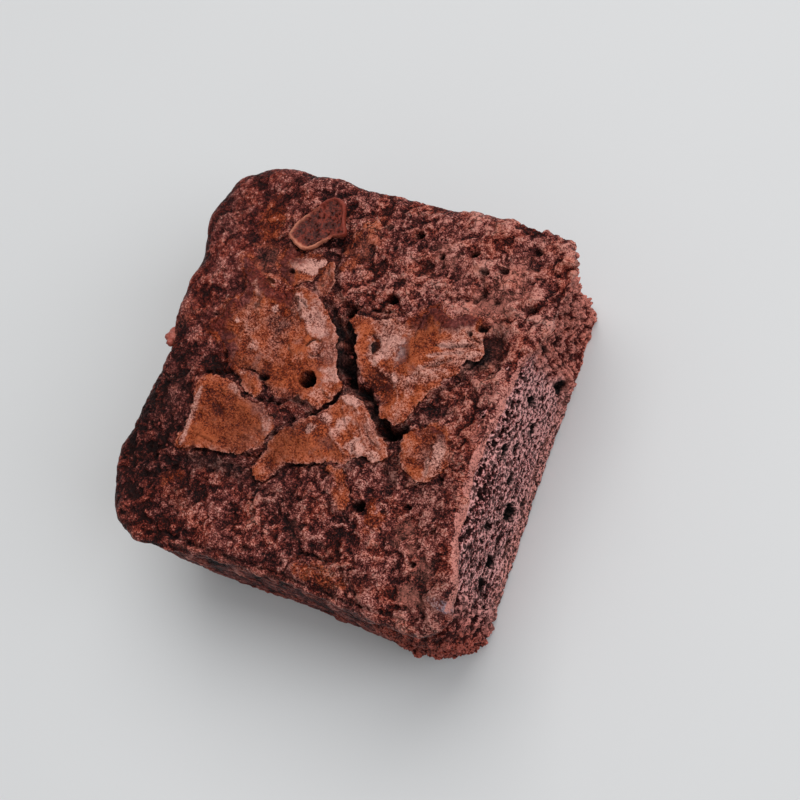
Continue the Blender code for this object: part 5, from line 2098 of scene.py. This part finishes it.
@dataclass(frozen=True)
class BodyFinish:
    """Crumb of the sides: mauve brown and porous where cut, redder where torn, darker on the pan sides by
    painted shade, with painted shade in the pores and under the lip.
    """

    tones: CrumbTones = CrumbTones()
    cut_deep: Colour = (0.02, 0.0028, 0.003)
    cut_low: Colour = (0.112, 0.015, 0.0145)
    cut_middle: Colour = (0.32, 0.082, 0.082)
    cut_high: Colour = (0.74, 0.35, 0.335)
    corner_low: Colour = (0.046, 0.0034, 0.0024)
    corner_high: Colour = (0.42, 0.07, 0.043)
    torn_low: Colour = (0.085, 0.008, 0.006)
    torn_high: Colour = (0.66, 0.175, 0.125)

    def material(self) -> bpy.types.Material:
        """Make the material.

        Returns:
            The material.
        """
        tones, book = self.tones, NodeBook("cut_crumb")
        fine, mottle = book.rough(0.3, 3, 8), book.rough(1.4, 4, 9)
        patch = book.rough(5, 3, 10)
        grains, grit = 1 - book.cells(0.50, 9, 0.4), book.rough(0.2, 2, 33, 0.6)
        cut, torn = book.noted("cut"), book.noted("torn")
        opened = cut.highest(torn.highest(book.noted("corner")))
        uneven = (0.4 * (grains - 0.55) + 1.4 * (grit - 0.5) + 1.2 * (mottle - 0.5) + 1.1 * (fine - 0.5)
                  + 0.9 * (patch - 0.5))
        # The level takes painted shade in hollows and paler raised places.
        level = 0.52 + 1.4 * (book.noted("cavity") - 0.5) + (0.65 + 0.9 * opened) * uneven
        # Painted shade: the pan sides are taken 0.12 darker.
        crumb = tones.crumb(book, level - 0.12 * (1 - cut - torn) + 0.36 * torn, fine)
        corner = book.mix((level + 0.5 * (fine - 0.5)).rise(0.36, 1.1), self.corner_low, self.corner_high)
        crumb = book.mix(0.9 * book.noted("corner"), crumb, corner)
        crumb = book.mix(0.75 * torn, crumb, book.mix(level.rise(0.3, 0.95), self.torn_low, self.torn_high))
        sliced = book.ramp(level, (
            (0.22, self.cut_deep), (0.38, self.cut_low), (0.53, self.cut_middle), (0.78, self.cut_high)))
        colour = book.mix(cut, crumb, sliced)
        colour = book.mix(0.75 * book.noted("foot") * cut * (fine + grit).rise(0.75, 1.1), colour, tones.lip)
        # Painted highlight on raised tips of the torn zone and the corner.
        tips = 0.7 * mottle + 0.4 * grains + book.noted("cavity") + fine + grit - 0.8
        tips = torn.highest(0.4 * book.noted("corner")) * tips.rise(1.32, 1.7)
        colour = book.mix(0.6 * tips, colour, tones.lip)
        # Painted shade under the crust's lip on the pan sides.
        colour = book.mix(0.8 * book.noted("under") * (1 - cut - torn), colour, tones.deep)
        # Painted shade in the cut crumb's pores.
        opening = 0.35 + 0.65 * cut
        pits = 1 - (book.cells(0.74, 10, 0.25) - 0.7 * (mottle - 0.5)).rise(0.30, 0.46)
        dots = 1 - book.cells(0.38, 11, 0.15).rise(0.26, 0.46)
        pits = pits.highest(0.85 * dots) * opening
        colour = book.mix(0.92 * pits, colour, self.cut_deep)
        # Painted shade in pores, bubbles, gaps and the corner groove.
        colour = book.mix(0.95 * book.noted("dark"), colour, tones.crack)
        rough = 0.52 - 0.6 * (fine - 0.5)
        normal = book.bump(0.5 * grains + 0.5 * fine - 1 * pits, 0.32)
        return book.close(Base_Color=colour, Roughness=rough, Normal=normal, IOR=CRUMB_IOR,
                          Specular_IOR_Level=0.11)


@dataclass(frozen=True)
class FlakeFinish:
    """The chip: a paler smooth rim, with painted light on its lower-left side, around dark red porous crumb
    with painted shade in its pores.
    """

    tones: CrumbTones = CrumbTones()
    inside: Colour = (0.215, 0.031, 0.018)
    inside_dark: Colour = (0.05, 0.009, 0.007)
    rim: Colour = (0.56, 0.2, 0.125)

    def material(self) -> bpy.types.Material:
        """Make the material.

        Returns:
            The material.
        """
        tones, book = self.tones, NodeBook("flake_crumb")
        fine, mottle = book.rough(0.25, 3, 11), book.rough(1, 4, 12)
        crumb = book.mix((fine + mottle).rise(0.85, 1.2), self.inside_dark, self.inside)
        # Painted shade in the pores.
        crumb = book.mix(0.75 * book.noted("pores") * (mottle + fine).rise(1.25, 0.9), crumb, tones.deep)
        # Paler rim, with painted light on its lower-left side.
        pale = (0.6 * fine + mottle + 0.5 * book.noted("pale")).rise(0.85, 1.4)
        rim = book.mix(pale, self.inside, self.rim)
        colour = book.mix(book.noted("inside"), rim, crumb)
        normal = book.bump(fine, 0.16)
        return book.close(Base_Color=colour, Roughness=0.52 + 0.4 * (fine - 0.5), Normal=normal,
                          IOR=CRUMB_IOR, Specular_IOR_Level=0.3)


@dataclass(frozen=True)
class GrainFinish:
    """Single crumbs, each a little paler than the crust."""

    tones: CrumbTones = CrumbTones()

    def material(self) -> bpy.types.Material:
        """Make the material.

        Returns:
            The material.
        """
        book = NodeBook("loose_grain")
        fine, patch = book.rough(0.3, 3, 13), book.rough(2.5, 1, 14)
        colour = book.ramp(0.5 * fine + 0.6 * patch + 0.35 * book.noted("pale"), (
            (0.3, self.tones.low), (0.55, self.tones.middle), (0.8, self.tones.high), (1.0, self.tones.tip)))
        return book.close(Base_Color=colour, Roughness=0.5 + 0.2 * (fine - 0.5), Normal=book.bump(fine, 0.1),
                          Specular_IOR_Level=0.3)


@dataclass(frozen=True)
class FloorFinish:
    """Plain pale matt floor."""

    colour: Colour = (0.690, 0.707, 0.725)

    def material(self) -> bpy.types.Material:
        """Make the material.

        Returns:
            The material.
        """
        book = NodeBook("pale_floor")
        cloud = book.rough(60, 2, 15)
        shade = tuple(0.97 * part for part in self.colour)
        return book.close(Base_Color=book.mix(cloud, shade, self.colour), Roughness=0.6,
                          Specular_IOR_Level=0.3)


@dataclass
class Studio:
    """Floor, soft light and camera.

    Args:
        aim: What the camera looks at, in millimetres in the frame.
        eye: Where the camera stands.
        up: The direction that its upper side faces.
        lens: Focal length in millimetres.
        sensor: Width of the film in millimetres.
        floor_size: Side of the floor in metres.
        lamps: Name, azimuth, elevation, size, power and colour of each soft light.
        lamp_distance: How far off the lights hang, in metres.
        ambient: Colour of the light from all around.
        ambient_strength: How strong that light is.
    """

    aim: Point3 = (12.6, -0.475, 25.6)
    eye: Point3 = (91.635, -35.516, 189.756)
    up: Point3 = (-0.21319, 0.92943, 0.30111)
    lens: float = 58.917
    sensor: float = 36.0
    floor_size: float = 4.0
    lamps: tuple[tuple[str, float, float, float, float, Colour], ...] = (
        ("window_light", 92.0, 58.0, 1.6, 21.0, (1.0, 0.98, 0.96)),
        ("fill_light", 8.0, 34.0, 1.3, 15.0, (0.96, 0.98, 1.0)))
    lamp_distance: float = 1.8
    ambient: Colour = (1.0, 0.985, 0.965)
    ambient_strength: float = 0.345

    def build(self) -> None:
        """Set the scene around the brownie."""
        self.lay_floor()
        for lamp in self.lamps:
            self.hang_light(*lamp)
        self.light_room()
        self.place_camera()
        bpy.context.scene.view_settings.view_transform = "Standard"

    def lay_floor(self) -> None:
        """Lay the floor under the brownie."""
        MeshWork.clear_selection()
        bpy.ops.mesh.primitive_plane_add(size=self.floor_size)
        floor = bpy.context.active_object
        floor.name = "floor"
        floor.data.materials.append(FloorFinish().material())

    def hang_light(self, name: str, azimuth: float, elevation: float, size: float, power: float,
                   colour: Colour) -> None:
        """Hang one soft square light that faces the brownie.

        Args:
            name: Its name.
            azimuth: Direction around, in degrees from the cut side.
            elevation: Height above the floor in degrees.
            size: Its side in metres.
            power: Its power in watts.
            colour: Its colour.
        """
        lamp = bpy.data.lights.new(name, "AREA")
        lamp.size, lamp.energy, lamp.color = size, power, colour
        turn, tilt = math.radians(azimuth), math.radians(elevation)
        towards = Vector((math.cos(turn) * math.cos(tilt), math.sin(turn) * math.cos(tilt), math.sin(tilt)))
        item = bpy.data.objects.new(name, lamp)
        item.location = towards * self.lamp_distance
        item.rotation_euler = towards.to_track_quat("Z", "Y").to_euler()
        bpy.context.scene.collection.objects.link(item)

    def light_room(self) -> None:
        """Fill the room with pale even light."""
        world = bpy.data.worlds.new("pale_room")
        world.use_nodes = True
        background = world.node_tree.nodes["Background"]
        background.inputs["Color"].default_value = (*self.ambient, 1.0)
        background.inputs["Strength"].default_value = self.ambient_strength
        bpy.context.scene.world = world

    def place_camera(self) -> None:
        """Stand the camera where the piece is seen from above the cut side."""
        camera = bpy.data.cameras.new("camera")
        camera.lens, camera.sensor_width = self.lens, self.sensor
        item = bpy.data.objects.new("camera", camera)
        eye = Vector(self.eye) * MM
        back = (eye - Vector(self.aim) * MM).normalized()
        right = Vector(self.up).cross(back).normalized()
        turn = Matrix((right, back.cross(right), back)).transposed()
        item.matrix_world = Matrix.Translation(eye) @ turn.to_4x4()
        bpy.context.scene.collection.objects.link(item)
        bpy.context.scene.camera = item


def main() -> None:
    """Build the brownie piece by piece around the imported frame."""
    logging.basicConfig(level=logging.INFO, format="%(name)s %(message)s")
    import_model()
    shape, grain = BrownieShape(), CrumbGrain()
    crust_finish, skin_finish = CrustFinish().material(), SkinFinish().material()
    CrustTop(shape, grain).build(crust_finish)
    for plate in PLATES:
        SkinPlate(shape, grain, plate).build(skin_finish)
    CrumbBody(shape, grain).build(BodyFinish().material())
    CrustFlake(shape).build(FlakeFinish().material())
    LooseCrumbs(shape, grain).build(GrainFinish().material())
    Studio().build()


if __name__ == "__main__":
    main()
